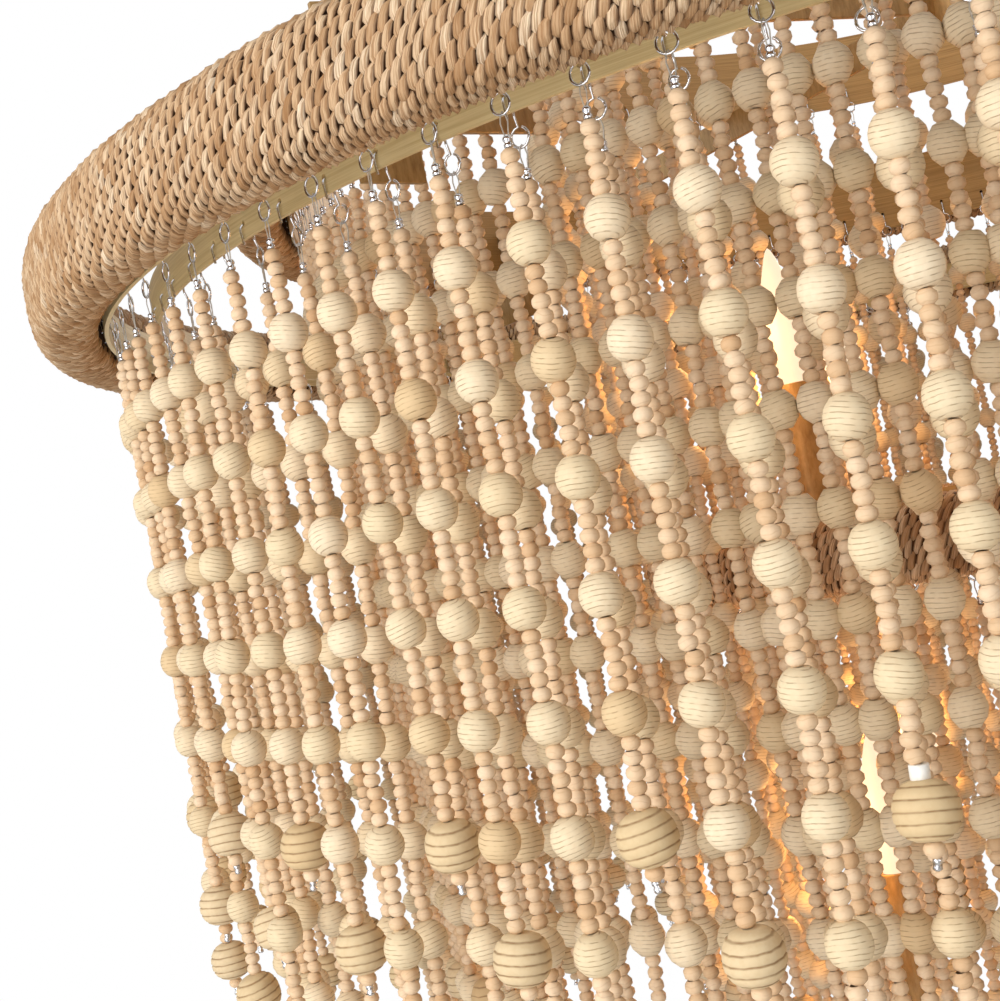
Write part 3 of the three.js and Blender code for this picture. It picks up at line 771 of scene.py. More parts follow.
def hang_strand(copies, kit, radius, angle, hole_z, big_count, ferrule):
    """Lists the copies that make one strand, with its hook, loop and crimps"""
    outward = Vector((math.cos(angle), math.sin(angle), 0))
    sideways = Vector((-math.sin(angle), math.cos(angle), 0))
    facing = Matrix.Rotation(angle, 3, "Z")
    lean = chance.normal(0, LEAN_SPREAD, 2)
    wander = chance.uniform(WANDER_LEAST, WANDER_MOST, 2) * MM
    phase = chance.uniform(0, TURN, 2)
    eye_turn = chance.normal(0, EYE_TURN_SPREAD)

    def at(drop, looseness=0.0):
        """The strand's middle at a drop under its hole"""
        below = max(drop - EYE_DROP, 0)
        side = [lean[k] * below
                + wander[k] * (math.sin(phase[k] + below / WANDER_WAVE) - math.sin(phase[k]))
                * min(1, below / WANDER_ONSET) for k in (0, 1)]
        loose = chance.normal(0, looseness, 2) if looseness else (0, 0)
        return (outward * radius + outward * (side[0] + loose[0])
                + sideways * (side[1] + loose[1]) + Vector((0, 0, hole_z - drop)))

    def askew(amount):
        tilt = chance.normal(0, amount, 2)
        spin = chance.uniform(0, TURN)
        return (Matrix.Rotation(tilt[0], 3, "X") @ Matrix.Rotation(tilt[1], 3, "Y")
                @ Matrix.Rotation(spin, 3, "Z"))

    def add(master, place, turn, tone=None):
        tone = chance.beta(2.2, 1.6) if tone is None else tone
        copies.setdefault(master, []).append((place, turn, tone))

    crimp_drop = HOLE_TO_BEADS - CRIMP_HEIGHT / 2
    add(kit["hook"], at(0), facing @ Matrix.Rotation(eye_turn * 0.2, 3, "Z"), METAL_TONE)
    add(kit["crimp"], at(crimp_drop), askew(CRIMP_TILT), METAL_TONE)
    add(kit["loop"], at(crimp_drop - CRIMP_HEIGHT / 2),
        facing @ Matrix.Rotation(eye_turn, 3, "Z"), METAL_TONE)
    drop = HOLE_TO_BEADS
    for run in range(big_count + 1):
        last_run = run == big_count
        for place in range(SMALL_PER_RUN):
            last = last_run and place == SMALL_PER_RUN - 1
            add("ferrule" if ferrule and last else kit["small"],
                at(drop + SMALL_HEIGHT / 2, BEAD_PLAY), askew(SMALL_TILT))
            drop += SMALL_HEIGHT
        kind, height = ("end", END_HEIGHT) if last_run else ("big", BIG_HEIGHT)
        add(kit[kind], at(drop + height / 2), askew(BIG_TILT))
        drop += height
    add(kit["small"], at(drop + SMALL_HEIGHT / 2), askew(LAST_BEAD_TILT))
    add(kit["crimp"], at(drop + SMALL_HEIGHT + CRIMP_HEIGHT / 2 - CRIMP_TUCK),
        askew(LAST_CRIMP_TILT), METAL_TONE)


def hang_row(name, row):
    """A whole row in pieces of equal arcs, each of which stands for the row's solid"""
    places, pieces = row["places"], row["pieces"]
    for part in range(pieces):
        copies = {}
        for k in range(places * part // pieces, places * (part + 1) // pieces):
            if k in row.get("bare", ()):
                continue
            angle = TURN * (k + row["phase"]) / places + math.pi / ARM_COUNT
            hang_strand(copies, row["kit"], row["radius"] - HANG_INSET, angle, row["hole"],
                        row["big_beads"][k % len(row["big_beads"])], k == row.get("ferrule"))
        dress(copy_out(f"{name}_strands_{part + 1}", copies), f"{name}_bead_row", slot="wood")


# %% [markdown]
# The five rows, from the outside in. The holes' heights come from the rims and the bands'
# edges; the radii from the rims, less their depth and the band. The crown's row leaves out the
# strands that would hang in a riser. The middle row's band stands on the crown spider's bars.

# %% Five rows
HOLE_OVER_EDGE = 15 * MM
CENTRE_BAND_RADIUS = 309.5 * MM
BAR_HEIGHT = 22 * MM
RIM_GAP = 28.2 * MM
OUTER_BEADS_OVER_HOOKS, INNER_HOLE_OVER_HOOKS = -17 * MM, 12 * MM
CROWN_BAND_DROP, LOWER_BAND_DROP = 28 * MM, 22 * MM


def middle_of(node):
    low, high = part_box(node)
    return (low.z + high.z) / 2


def band_in(ring):
    """Radius of the band that lies inside a rim"""
    return ring["radius"] - RIM_DEPTH - BAND_GAP - BAND_THICKNESS


crown_bottom = middle_of("crown_rim") - CROWN_BAND_DROP
centre_bottom = middle_of("crown_spider") + BAR_HEIGHT / 2 + BAND_GAP
lower_bottom = middle_of("lower_rim") - LOWER_BAND_DROP
rows = {
    "outer": {
        "kit": near_kit, "radius": band_in(main_ring), "finish": champagne,
        "hole": HOOK_Z + OUTER_BEADS_OVER_HOOKS + HOLE_TO_BEADS,
        "bottom": HOOK_Z + 5.5 * MM, "top": HOOK_Z + 34 * MM,
        "places": 102, "phase": -0.075, "big_beads": [6, 7, 5], "pieces": 4, "ferrule": 62},
    "inner": {
        "kit": mid_kit, "radius": band_in(main_ring) - RIM_GAP - BAND_THICKNESS,
        "finish": champagne, "hole": HOOK_Z + INNER_HOLE_OVER_HOOKS,
        "bottom": HOOK_Z + 4.5 * MM, "top": HOOK_Z + 28 * MM,
        "places": 96, "phase": 0.1, "big_beads": [8, 10, 9], "pieces": 4},
    "crown": {
        "kit": back_kit, "radius": band_in(crown_ring), "finish": champagne_painted_shade,
        "hole": crown_bottom + HOLE_OVER_EDGE, "bottom": crown_bottom,
        "top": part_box("crown_bead_row")[1].z, "places": 160, "phase": 0,
        "big_beads": [9, 10, 11], "pieces": 4, "bare": [8 + 40 * i for i in range(ARM_COUNT)]},
    "centre": {
        "kit": far_kit, "radius": CENTRE_BAND_RADIUS, "finish": champagne_painted_shade,
        "hole": centre_bottom + HOLE_OVER_EDGE, "bottom": centre_bottom,
        "top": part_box("centre_bead_row")[1].z, "places": 52, "phase": 0.5,
        "big_beads": [12, 14, 13], "pieces": 4},
    "lower": {
        "kit": far_kit, "radius": band_in(lower_ring), "finish": champagne_painted_shade,
        "hole": lower_bottom + HOLE_OVER_EDGE, "bottom": lower_bottom,
        "top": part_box("lower_bead_row")[1].z, "places": 40, "phase": 0.5,
        "big_beads": [6, 8, 7], "pieces": 2},
}
for name, row in rows.items():
    hang_row(name, row)
for master in masters:
    bpy.data.objects.remove(bpy.data.objects[master])

# %% [markdown]
# ## Punched bands
#
# Each row hangs from a flat strip bent into a hoop and punched once per strand. One cell of the
# strip is a square ring of four-sided faces round an eight-sided hole. The cells are laid side
# by side round the hoop as plain points and faces, which is exact and quick, then welded into
# one surface and given the strip's thickness.

# %% Bands
HOLE_RADIUS = 1.5 * MM
HOLE_SIDES = 8
# A cell's outer points as shares of its half width and half height, from one corner round
CELL_SHARES = [(1, 1), (0, 1), (-1, 1), (-1, 0), (-1, -1), (0, -1), (1, -1), (1, 0)]


def punched_band(name, row):
    """A hoop with one hole per strand"""
    radius, bottom, top = row["radius"], row["bottom"], row["top"]
    half = TURN / row["places"] / 2
    points, faces = [], []
    for k in range(row["places"]):
        middle = TURN * (k + row["phase"]) / row["places"] + math.pi / ARM_COUNT
        base = len(points)
        cell = [(middle + wide * half, (bottom + top) / 2 + high * (top - bottom) / 2)
                for wide, high in CELL_SHARES]
        for i in range(HOLE_SIDES):
            turn = math.pi / 4 + TURN * i / HOLE_SIDES
            cell.append((middle + HOLE_RADIUS * math.cos(turn) / radius,
                         row["hole"] + HOLE_RADIUS * math.sin(turn)))
        points += [(radius * math.cos(angle), radius * math.sin(angle), height)
                   for angle, height in cell]
        for i in range(HOLE_SIDES):
            j = (i + 1) % HOLE_SIDES
            faces.append((base + i, base + j, base + HOLE_SIDES + j, base + HOLE_SIDES + i))
    mesh = bpy.data.meshes.new(name)
    mesh.from_pydata(points, [], faces)
    mesh.materials.append(row["finish"])
    piece = place_object(name, mesh)
    edit(piece)
    bpy.ops.mesh.remove_doubles(threshold=2 * WELD)
    bpy.ops.mesh.normals_make_consistent(inside=False)
    apply_modifier(piece, "SOLIDIFY", thickness=BAND_THICKNESS, offset=1)
    print(name, "has", row["places"], "holes")
    return settle(piece, 30)


for name, row in rows.items():
    dress(punched_band(f"{name}_band", row), f"{name}_bead_row")

# %% [markdown]
# ## Woven rims
#
# The wrap is a two-ply cord wound round and round the ring. Each turn lies beside the last,
# 6.5 mm on, and each half twist of the cord shows a leaf 14 mm long that leans on the cord's
# line. A leaf is a small puffed patch with two pointed ends that dip under. Its points are
# laid out flat, along and across the cord, and then bent onto the ring's rounded section, so
# the leaves roll round the rim's edges as the cord does. Thousands of like patches are written
# as arrays, because operators would take minutes.

# %% Rim builder
CORD_PITCH = 6.5 * MM
LEAF_SPACING = 7.3 * MM
LEAF_LEAN = 0.42
LEAF_STAGGER_SHARE = 0.38
STAGGER_SPREAD, LENGTH_SPREAD, WIDTH_SPREAD, RISE_SPREAD, LEAN_ANGLE_SPREAD = (
    0.05, 0.06, 0.09, 0.10, 0.06)
# Along the leaf, how wide and how high it is there
LEAF_STATIONS = [(-1.0, 0.0, -0.9), (-0.5, 0.84, 0.66), (0.0, 1.0, 1.0), (0.5, 0.84, 0.66),
                 (1.0, 0.0, -0.9)]
EDGE_RISE_SHARE, EDGE_LIFT = 0.2, -0.15
LEAF_FACES = [(0, 2, 1), (0, 3, 2), (1, 2, 5, 4), (2, 3, 6, 5), (4, 5, 8, 7), (5, 6, 9, 8),
              (7, 8, 10), (8, 9, 10)]
CORE_UNDER_LEAVES = 0.9 * MM
# Where the section faces inward past this, the band may cover it
FACING_IN = -0.9


def rim_section(ring, inset, steps=360):
    """The rounded section as points (radius, height), its outward normals, running length"""
    turn = np.linspace(0, TURN, steps, endpoint=False)
    power = 2 / RIM_ROUNDNESS
    half_depth = RIM_DEPTH / 2 - inset
    half_height = (ring["top"] - ring["bottom"]) / 2 - inset
    wide = np.sign(np.cos(turn)) * np.abs(np.cos(turn)) ** power * half_depth
    high = np.sign(np.sin(turn)) * np.abs(np.sin(turn)) ** power * half_height
    middle = (ring["top"] + ring["bottom"]) / 2
    points = np.stack([ring["radius"] - RIM_DEPTH / 2 + wide, middle + high], 1)
    closed = np.vstack([points, points[:1]])
    lengths = np.linalg.norm(np.diff(closed, axis=0), axis=1)
    run = np.concatenate([[0], np.cumsum(lengths)])
    tangent = np.roll(points, -1, 0) - np.roll(points, 1, 0)
    tangent /= np.linalg.norm(tangent, axis=1)[:, None]
    normal = np.stack([tangent[:, 1], -tangent[:, 0]], 1)
    return closed, np.vstack([normal, normal[:1]]), run


def leaf_layout():
    """Points (along, across, rise) and UVs of one leaf, in shares of its size"""
    points, uvs = [], []
    for along, wide, rise in LEAF_STATIONS:
        for side in ((-1.0, 0.0, 1.0) if wide else (0.0,)):
            height = rise * EDGE_RISE_SHARE + EDGE_LIFT if side else rise
            points.append((along, side * wide, height))
            uvs.append((0.5 + 0.5 * side * wide, 0.5 + 0.5 * along))
    return np.array(points), np.array(uvs)


def woven_rim(name, ring, node, parts, seed, band):
    """Leaves all round a rim, but for those behind its band, in pieces over a dark core"""
    luck = np.random.default_rng(seed)
    section, normals, run = rim_section(ring, LEAF_RISE)
    around = run[-1]
    turns = round(TURN * ring["radius"] / CORD_PITCH)
    per_turn = round(around / LEAF_SPACING)
    layout, uvs = leaf_layout()
    corner = np.concatenate(LEAF_FACES)
    start = np.cumsum([0] + [len(face) for face in LEAF_FACES[:-1]])
    for part in range(parts):
        columns = np.arange(turns * part // parts, turns * (part + 1) // parts)
        column, row = (grid.ravel() for grid in
                       np.meshgrid(columns, np.arange(per_turn), indexing="ij"))
        ragged = luck.normal(0, STAGGER_SPREAD, turns)[column]
        along0 = (row + (column * LEAF_STAGGER_SHARE + ragged) % 1) * (around / per_turn)
        facing = np.interp(along0 % around, run, normals[:, 0])
        level = np.interp(along0 % around, run, section[:, 1])
        shown = (facing >= FACING_IN) | (level <= band["bottom"]) | (level >= band["top"])
        column, along0 = column[shown], along0[shown]
        amount = len(column)
        length = LEAF_HALF_LENGTH * luck.normal(1, LENGTH_SPREAD, amount)
        width = LEAF_HALF_WIDTH * luck.normal(1, WIDTH_SPREAD, amount)
        rise = LEAF_RISE * luck.normal(1, RISE_SPREAD, amount)
        lean = LEAF_LEAN + luck.normal(0, LEAN_ANGLE_SPREAD, amount)
        along = layout[None, :, 0] * length[:, None]
        across = layout[None, :, 1] * width[:, None] + along * np.tan(lean)[:, None]
        height = layout[None, :, 2] * rise[:, None]
        place = (along0[:, None] + along) % around
        radius, level, out, up = (np.interp(place, run, values) for values in (
            section[:, 0], section[:, 1], normals[:, 0], normals[:, 1]))
        scale = np.hypot(out, up)
        # Across the cord is measured on the outer face; further in, the leaves crowd together
        angle = TURN * (column + 0.5)[:, None] / turns + across / ring["radius"]
        reach = radius + out / scale * height
        points = np.stack([reach * np.cos(angle), reach * np.sin(angle),
                           level + up / scale * height], 2)
        batch = Batch()
        batch.put(points, corner, start, uvs[corner], np.zeros(len(start), int),
                  luck.beta(2.4, 2.0, amount), [seagrass])
        dress(batch.finish(f"{name}_{part + 1}"), node, slot="seagrass")
    inner, _, _ = rim_section(ring, LEAF_RISE + CORE_UNDER_LEAVES, steps=24)
    core = turned(f"{name}_core", [tuple(point) for point in inner], rim_core, 96,
                  smooth_angle=60)
    dress(core, node, slot="seagrass")


MAIN_WEAVE_LIFT = 5 * MM
main_wrap = dict(main_ring, bottom=main_ring["bottom"] + MAIN_WEAVE_LIFT)
woven_rim("main_rim_weave", main_wrap, "main_rim", 2, 31, rows["outer"])
woven_rim("crown_rim_weave", crown_ring, "crown_rim", 1, 32, rows["crown"])
woven_rim("lower_rim_weave", lower_ring, "lower_rim", 1, 33, rows["lower"])

# %% [markdown]
# ## Suspension
#
# Above the crown the fixture hangs from a domed canopy, two round eyes with a long link between
# them, and a rod in two lengths. These are turned or cast parts: turned ones are spun from a
# profile, and the eyes are rings. All are lacquered in the same champagne gold. The plate, its
# stud and its nut stay as they were packed, in bare zinc.

# %% Canopy, collar, plate
canopy_low, canopy_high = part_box("canopy")
collar_low, collar_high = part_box("canopy_collar")
CANOPY_WALL, CANOPY_SKIRT, CANOPY_HOLE = 1.5 * MM, 9 * MM, 14.5 * MM
COLLAR_BORE, COLLAR_BEVEL = 13.4 * MM, 0.8 * MM
KNURLS, KNURL_EDGE, KNURL_DEPTH, KNURL_REACH = 32, 0.25 * MM, 0.35 * MM, 0.5 * MM


def canopy_side(inset, steps=12):
    """The dome's profile from the rim up to the hole, moved in by the wall"""
    wide = canopy_high.x - inset
    fall = canopy_high.z - canopy_low.z - CANOPY_SKIRT - inset
    return [(wide, canopy_high.z)] + [
        (CANOPY_HOLE + (wide - CANOPY_HOLE) * math.cos(math.pi / 2 * i / steps),
         canopy_high.z - CANOPY_SKIRT - fall * math.sin(math.pi / 2 * i / steps))
        for i in range(steps + 1)]


canopy_profile = canopy_side(0) + canopy_side(CANOPY_WALL)[::-1]
dress(turned("canopy_dome", canopy_profile + canopy_profile[:1], steps=96), "canopy",
      body="canopy_part")


collar = turned("canopy_collar_knurled", ring_profile(
    COLLAR_BORE, collar_high.x, collar_low.z, collar_high.z, COLLAR_BEVEL), steps=64)


def in_knurl(face):
    """Every second face of the collar's wall"""
    x, y, z = face.center
    return (collar_low.z < z < collar_high.z and math.hypot(x, y) > collar_high.x - KNURL_REACH
            and round(math.atan2(y, x) * KNURLS / math.pi) % 2 == 0)


# The knurl, for the fingers, is pressed in
edit(collar)
pick(collar, collar.data.polygons, "FACE", in_knurl)
bpy.ops.mesh.inset(thickness=KNURL_EDGE, depth=-KNURL_DEPTH, use_individual=True)
dress(settle(collar, 30), "canopy_collar", body="canopy_part")
for node in ("ceiling_plate", "ceiling_stud", "stud_nut"):
    frame["nodes"][node].material_slots[0].material = zinc

# %% Eyes and link
LOOP_WIRE, LOOP_RADIUS = 2.6 * MM, 10 * MM
LINK_RADIUS, LINK_STRAIGHT = 13 * MM, 14 * MM
# The solids' eyes are spun in flats, which lie this far inside the round wire
FLATS = 0.25 * MM
# Profiles in millimetres: radius, and height over the ceiling boss's top or the swivel's foot
CEILING_BOSS = [(0, -20.3), (4, -20.3), (4.2, -17), (5.6, -16), (12, -16), (13, -15), (13, -1),
                (12, 0), (5.2, 0), (5.2, -10.3), (0, -10.3)]
SWIVEL_BOSS = [(0, 14), (6.5, 14), (6.5, 9), (4.6, 9), (4.6, 0), (9, 0), (10, 1), (10, 8),
               (9.3, 8.6), (10, 9.2), (10, 17), (9, 18), (5.4, 18), (4, 19), (4, 22.3),
               (0, 22.3)]


def wire_ring(name, radius, centre_z, rotation, steps):
    """A ring of round wire about the axis, at this height"""
    select_only()
    bpy.ops.mesh.primitive_torus_add(
        major_segments=steps, minor_segments=14, major_radius=radius, minor_radius=LOOP_WIRE,
        location=(0, 0, centre_z), rotation=rotation)
    return settle(just_added(name), 60)


def eye(name, centre_z, boss_profile):
    """A round eye in the XZ plane, joined to its turned boss"""
    boss = turned(name, boss_profile, steps=40)
    ring = wire_ring(f"{name}_ring", LOOP_RADIUS, centre_z, (math.pi / 2, 0, 0), 40)
    select_only(ring, boss)
    bpy.ops.object.join()
    return settle(boss, 40)


loop_low, loop_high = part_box("ceiling_loop")
dress(eye("ceiling_eye", loop_low.z + LOOP_WIRE + LOOP_RADIUS - FLATS,
          over(loop_high.z, CEILING_BOSS)), "ceiling_loop", body="ceiling_part")

link_z = middle_of("hanging_link")
link_piece = wire_ring("long_link", LINK_RADIUS, link_z, (0, math.pi / 2, 0), 48)
edit(link_piece)
for side in (1, -1):
    pick(link_piece, link_piece.data.vertices, "VERT",
         lambda point, side=side: (point.co.z - link_z) * side > WELD)
    bpy.ops.transform.translate(value=(0, 0, side * LINK_STRAIGHT / 2))
dress(settle(link_piece, 60), "hanging_link", body="link_part")

swivel_low, swivel_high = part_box("stem_loop")
dress(eye("stem_eye", swivel_high.z - LOOP_WIRE - LOOP_RADIUS + FLATS,
          over(swivel_low.z, SWIVEL_BOSS)), "stem_loop", body="swivel_part")
print("eyes and link of", round(2 * LOOP_WIRE / MM, 1), "mm wire")

# %% Rods and coupler
ROD_BEVEL = 0.8 * MM
SPIGOT_RADIUS, SPIGOT_HEAD_RADIUS, SPIGOT_HEAD_HEIGHT = 4.2 * MM, 6 * MM, 4 * MM
COUPLER_BORE = 6.8 * MM


def centre_of(low, high):
    return ((low.x + high.x) / 2, (low.y + high.y) / 2)


def rod(name, node):
    """A plain rod with broken ends, in the place of its solid"""
    low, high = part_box(node)
    wide = (high.x - low.x) / 2
    profile = [(0, low.z), (wide - ROD_BEVEL, low.z), (wide, low.z + ROD_BEVEL),
               (wide, high.z - ROD_BEVEL), (wide - ROD_BEVEL, high.z), (0, high.z)]
    dress(turned(name, profile, steps=32, centre=centre_of(low, high)), node)


upper_low, upper_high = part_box("stem_upper")
stem_radius, head_top = upper_high.x, upper_high.z
shoulder_z = swivel_low.z - BAND_GAP
dress(turned("stem_rod_upper", [
    (0, upper_low.z), (stem_radius - ROD_BEVEL, upper_low.z),
    (stem_radius, upper_low.z + ROD_BEVEL), (stem_radius, shoulder_z - ROD_BEVEL),
    (stem_radius - ROD_BEVEL, shoulder_z), (SPIGOT_RADIUS, shoulder_z),
    (SPIGOT_RADIUS, head_top - SPIGOT_HEAD_HEIGHT),
    (SPIGOT_HEAD_RADIUS, head_top - SPIGOT_HEAD_HEIGHT), (SPIGOT_HEAD_RADIUS, head_top),
    (0, head_top)], steps=32), "stem_upper")
rod("stem_rod_lower", "stem_lower")
rod("column_rod_upper", "column_upper")
rod("column_rod_lower", "column_lower")
coupler_low, coupler_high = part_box("stem_coupler")
dress(turned("stem_coupler_ring", ring_profile(
    COUPLER_BORE, coupler_high.x, coupler_low.z, coupler_high.z, MM), steps=40), "stem_coupler")

# %% [markdown]
# ## Spiders and risers
#
# Four flat bars on edge reach out from each turned hub. A bar is a cube drawn out to length,
# with its long edges broken by a bevel; the hub is spun, and the two are joined. A riser is a
# flat plate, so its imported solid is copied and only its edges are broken.

# %% Spiders
BAR_THICKNESS = 4 * MM
BAR_BEVEL = 0.5 * MM
HUB_BEVEL, HUB_BORE_DEPTH, BAR_IN_HUB = 2 * MM, 12 * MM, 3 * MM
STEM_BORE, COLUMN_BORE, FINIAL_BORE = 6.8 * MM, 8.3 * MM, 4.3 * MM


def flat_bar(name, start, end, bottom, top, angle):
    """A bar on edge between two radii, with its edges broken"""
    select_only()
    bpy.ops.mesh.primitive_cube_add(size=1)
    piece = just_added(name)
    piece.dimensions = (end - start, BAR_THICKNESS, top - bottom)
    piece.location = ((start + end) / 2, 0, (bottom + top) / 2)
    edit(settle(piece, 30))
    bpy.ops.mesh.bevel(offset=BAR_BEVEL, segments=2, affect="EDGES")
    settle(piece, 30)
    piece.rotation_euler = (0, 0, angle)
    return settle(piece, 30)


def spider(name, node, hub_radius, above, below):
    """Hub and four bars, in the place of their solid; its bores' radii above and below"""
    low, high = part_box(node)
    reach = math.hypot(high.x, high.y) - BAR_THICKNESS / 2
    bar_bottom = middle_of(node) - BAR_HEIGHT / 2
    hub = turned(name, [
        (0, low.z + HUB_BORE_DEPTH), (below, low.z + HUB_BORE_DEPTH), (below, low.z),
        (hub_radius - HUB_BEVEL, low.z), (hub_radius, low.z + HUB_BEVEL),
        (hub_radius, high.z - HUB_BEVEL), (hub_radius - HUB_BEVEL, high.z), (above, high.z),
        (above, high.z - HUB_BORE_DEPTH), (0, high.z - HUB_BORE_DEPTH)])
    bars = [flat_bar(f"{name}_bar_{i}", hub_radius - BAR_IN_HUB, reach, bar_bottom,
                     bar_bottom + BAR_HEIGHT, math.pi * (i + 0.5) / 2)
            for i in range(ARM_COUNT)]
    select_only(*bars, hub)
    bpy.ops.object.join()
    dress(settle(hub, 40), node)


spider("crown_hub_and_bars", "crown_spider", 28 * MM, STEM_BORE, COLUMN_BORE)
spider("upper_hub_and_bars", "upper_candle_spider", 22 * MM, COLUMN_BORE, COLUMN_BORE)
spider("lower_hub_and_bars", "lower_candle_spider", 22 * MM, COLUMN_BORE, FINIAL_BORE)

# %% Risers
for i in range(1, ARM_COUNT + 1):
    riser = place_object(f"riser_plate_{i}", frame["nodes"][f"riser_{i}"].data.copy())
    riser.data.materials.clear()
    riser.data.materials.append(champagne_bar)
    edit(riser)
    bpy.ops.mesh.remove_doubles(threshold=WELD)
    bpy.ops.mesh.dissolve_limited(angle_limit=math.radians(1))
    apply_modifier(riser, "BEVEL", width=BAR_BEVEL, segments=2, limit_method="ANGLE")
    dress(settle(riser, 30), f"riser_{i}")

# %% [markdown]
# ## Candles
#
# Each lamp is a flared drip cup on the bar, a plain metal sleeve, a lampholder inside it and a
# candle bulb. The bulb is frosted glass over a screwed cap. It is spun from a profile of the
# usual flame shape, and its glass glows evenly, because a frosted bulb hides its filament.

# %% Candles
# Profiles in millimetres of radius and of height over the piece's own foot
CUP_PROFILE = [(9, 0), (11, 0.6), (16.5, 4.2), (19, 10.2), (18.6, 11), (17.6, 10.4),
               (15.2, 5.6), (13.6, 5.2), (13.4, 6)]
HOLDER_PROFILE = [(5, -28), (9.4, -28), (9.5, 0), (7.4, 0), (7.4, -24), (0, -24)]
GLASS_PROFILE = [(0, 0.3), (8.0, 0.3), (8.4, 3), (9.6, 8), (12.4, 16), (14.6, 24), (15, 30),
                 (14.7, 38), (13.5, 47), (11.4, 56), (8.9, 65), (6.2, 74), (3.6, 82),
                 (1.6, 86.6), (0, 88.3)]
CAP_THREADS, CAP_PITCH, CAP_CREST, CAP_ROOT = 7, 3, 6.7, 6.2
CAP_TIP_PROFILE = [(4, -21), (2, -22), (0, -22)]
FINIAL_PROFILE = [(0, -46), (2.4, -45.4), (6, -42.4), (10.6, -36.8), (14.8, -29.6), (17, -22.6),
                  (16.4, -17.4), (13, -13), (7.4, -9.6), (6, -8.2), (7.2, -6.6), (12.4, -5.2),
                  (13.6, -3.4), (13.6, 0), (4, 0), (4, 11.4), (0, 11.4)]
SLEEVE_BORE, SLEEVE_RADIUS, SLEEVE_SEAT = 11.4 * MM, 13 * MM, 0.2 * MM
CUP_FLOOR_RADIUS, POST_RADIUS = 13.4 * MM, 5 * MM
FINIAL_SPIGOT = 11.7 * MM


def candle(level, number):
    """Cup, holder, sleeve and bulb of one candle, in the places of their solids"""
    of = f"{level}_{number}"
    holder_low, holder_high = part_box(f"lampholder_{of}")
    sleeve_low, sleeve_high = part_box(f"candle_sleeve_{of}")
    centre = centre_of(holder_low, holder_high)
    top = holder_high.z
    seat = [(CUP_FLOOR_RADIUS, sleeve_low.z - SLEEVE_SEAT), (POST_RADIUS, sleeve_low.z)]
    profile = [(0, holder_low.z)] + over(holder_low.z, CUP_PROFILE) + seat
    dress(turned(f"lamp_holder_{of}", profile + over(top, HOLDER_PROFILE), steps=28,
                 centre=centre), f"lampholder_{of}")
    sleeve = ring_profile(SLEEVE_BORE, SLEEVE_RADIUS, sleeve_low.z, sleeve_high.z)
    dress(turned(f"candle_tube_{of}", sleeve, steps=32, centre=centre), f"candle_sleeve_{of}")
    glass = turned(f"bulb_glass_{of}", over(top, GLASS_PROFILE), bulb_glass, 28, centre, 60)
    dress(glass, f"bulb_{of}", body=f"lamp_{of}", slot="glass")
    cap = [GLASS_PROFILE[0]]
    for i in range(CAP_THREADS):
        cap += [(CAP_CREST, -i * CAP_PITCH), (CAP_ROOT, -(i + 0.5) * CAP_PITCH)]
    screw = turned(f"bulb_cap_{of}", over(top, cap + CAP_TIP_PROFILE), zinc, 20, centre)
    dress(screw, f"bulb_{of}", body=f"lamp_{of}", slot="steel")


candles = [(level, number) for level in ("upper", "lower") for number in range(1, ARM_COUNT + 1)]
for level, number in candles:
    candle(level, number)
finial_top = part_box("finial")[1].z - FINIAL_SPIGOT
dress(turned("turned_finial", over(finial_top, FINIAL_PROFILE)), "finial")
print(len(candles), "candles and a finial")

# %% [markdown]
# ## Floor, backdrop and light
#
# The room is plain: a pale floor far below, and a world that is white to the camera and to
# mirrors. Four large soft lamps give the object its shape, and a small warm lamp near each
# bulb throws the amber light that the inner strands catch.

# %% Floor
FLOOR_DROP, FLOOR_SIZE = 2.4, 20
WHITE = (1, 1, 1, 1)
select_only()
bpy.ops.mesh.primitive_plane_add(size=FLOOR_SIZE, location=(0, 0, cad_box[0][2] - FLOOR_DROP))
matt = Finish("matt white floor", Roughness=0.9)
matt.shader.inputs["Base Color"].default_value = hex_colour("f4f3f1")
matt_mix = matt.add("MixShader", {
    0: matt.add("LightPath")["Is Camera Ray"], 1: matt.shader.outputs["BSDF"],
    2: matt.add("Emission", {"Color": WHITE, "Strength": 1.0})["Emission"]})
floor_tree = matt.material.node_tree
floor_tree.links.new(matt_mix["Shader"], floor_tree.nodes["Material Output"].inputs["Surface"])
floor = just_added("floor", matt.material)

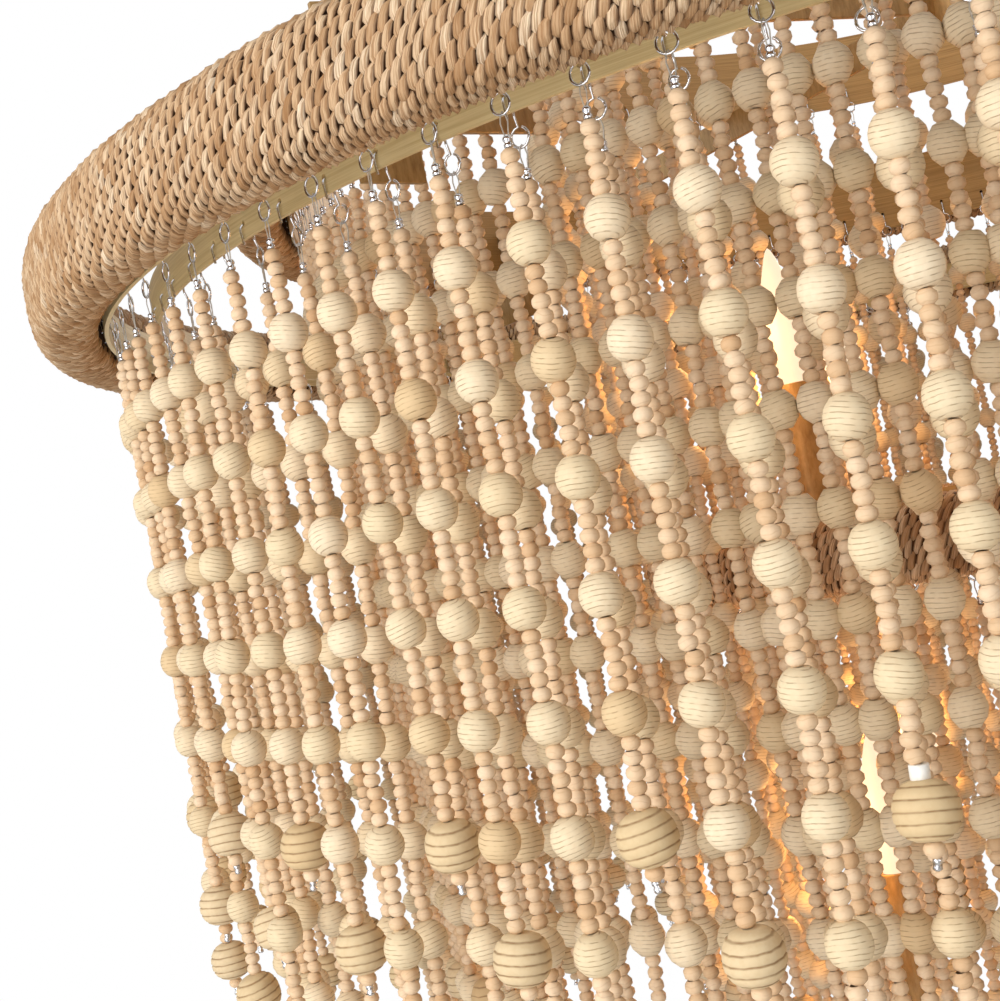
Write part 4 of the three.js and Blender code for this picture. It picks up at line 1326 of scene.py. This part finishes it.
# %% World and lamps
SKY_COLOUR, SKY_STRENGTH = (1, 0.995, 0.98, 1), 0.42
world = bpy.data.worlds.new("studio")
scene.world = world
world.use_nodes = True
world_tree = world.node_tree
sky = world_tree.nodes["Background"]
sky.inputs["Color"].default_value = SKY_COLOUR
sky.inputs["Strength"].default_value = SKY_STRENGTH
seen = new_node(world, "Background", {"Color": WHITE, "Strength": 1.0})
path = new_node(world, "LightPath").outputs
either = new_node(world, "Math", {0: path["Is Camera Ray"], 1: path["Is Glossy Ray"]},
                  operation="MAXIMUM")
mixer = new_node(world, "MixShader", {0: either.outputs[0], 1: sky.outputs[0],
                                      2: seen.outputs[0]})
world_tree.links.new(mixer.outputs[0], world_tree.nodes["World Output"].inputs["Surface"])

LAMP_AIM = Vector((0, 0, HOOK_Z - 0.15))
# Name, place seen from the aim, width in metres, watts, colour
SOFT_LAMPS = [("key", (-1.6, -2.6, 0.7), 1.6, 57, "fffbf4"),
              ("low fill", (-0.9, -2.5, -1.0), 1.8, 24, "fffcf8"),
              ("side fill", (2.4, -1.8, 0), 2.0, 14, "fffcf8"),
              ("rear", (0.6, 2.8, 1.0), 1.8, 28, "fff8ee")]
BULB_WATTS, BULB_COLOUR, BULB_SOFTNESS, BULB_REACH = 0.6, "ffbd72", 0.035, 1.22


def lamp(name, kind, place, watts, colour, **settings):
    """A lamp at a place"""
    data = bpy.data.lights.new(name, kind)
    data.energy = watts
    data.color = hex_colour(colour)[:3]
    for key, value in settings.items():
        setattr(data, key, value)
    piece = place_object(name, data)
    piece.location = place
    return piece


for name, offset, width, watts, colour in SOFT_LAMPS:
    square = lamp(name, "AREA", LAMP_AIM + Vector(offset), watts, colour, size=width)
    square.rotation_euler = (-Vector(offset)).to_track_quat("-Z", "Y").to_euler()
for level, number in candles:
    low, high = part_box(f"bulb_{level}_{number}")
    middle = (low + high) / 2
    # The lamp stands a little outside its bulb, so that the glass doesn't hide it
    lamp(f"glow_{level}_{number}", "POINT",
         (middle.x * BULB_REACH, middle.y * BULB_REACH, middle.z), BULB_WATTS, BULB_COLOUR,
         shadow_soft_size=BULB_SOFTNESS)
print(len(SOFT_LAMPS) + len(candles), "lamps")

# %% Sizes, and the end
select_only()
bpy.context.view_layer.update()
print("triangles", sum(
    len(face.vertices) - 2 for piece in scene.objects
    if piece.type == "MESH" and piece.visible_get() for face in piece.data.polygons))
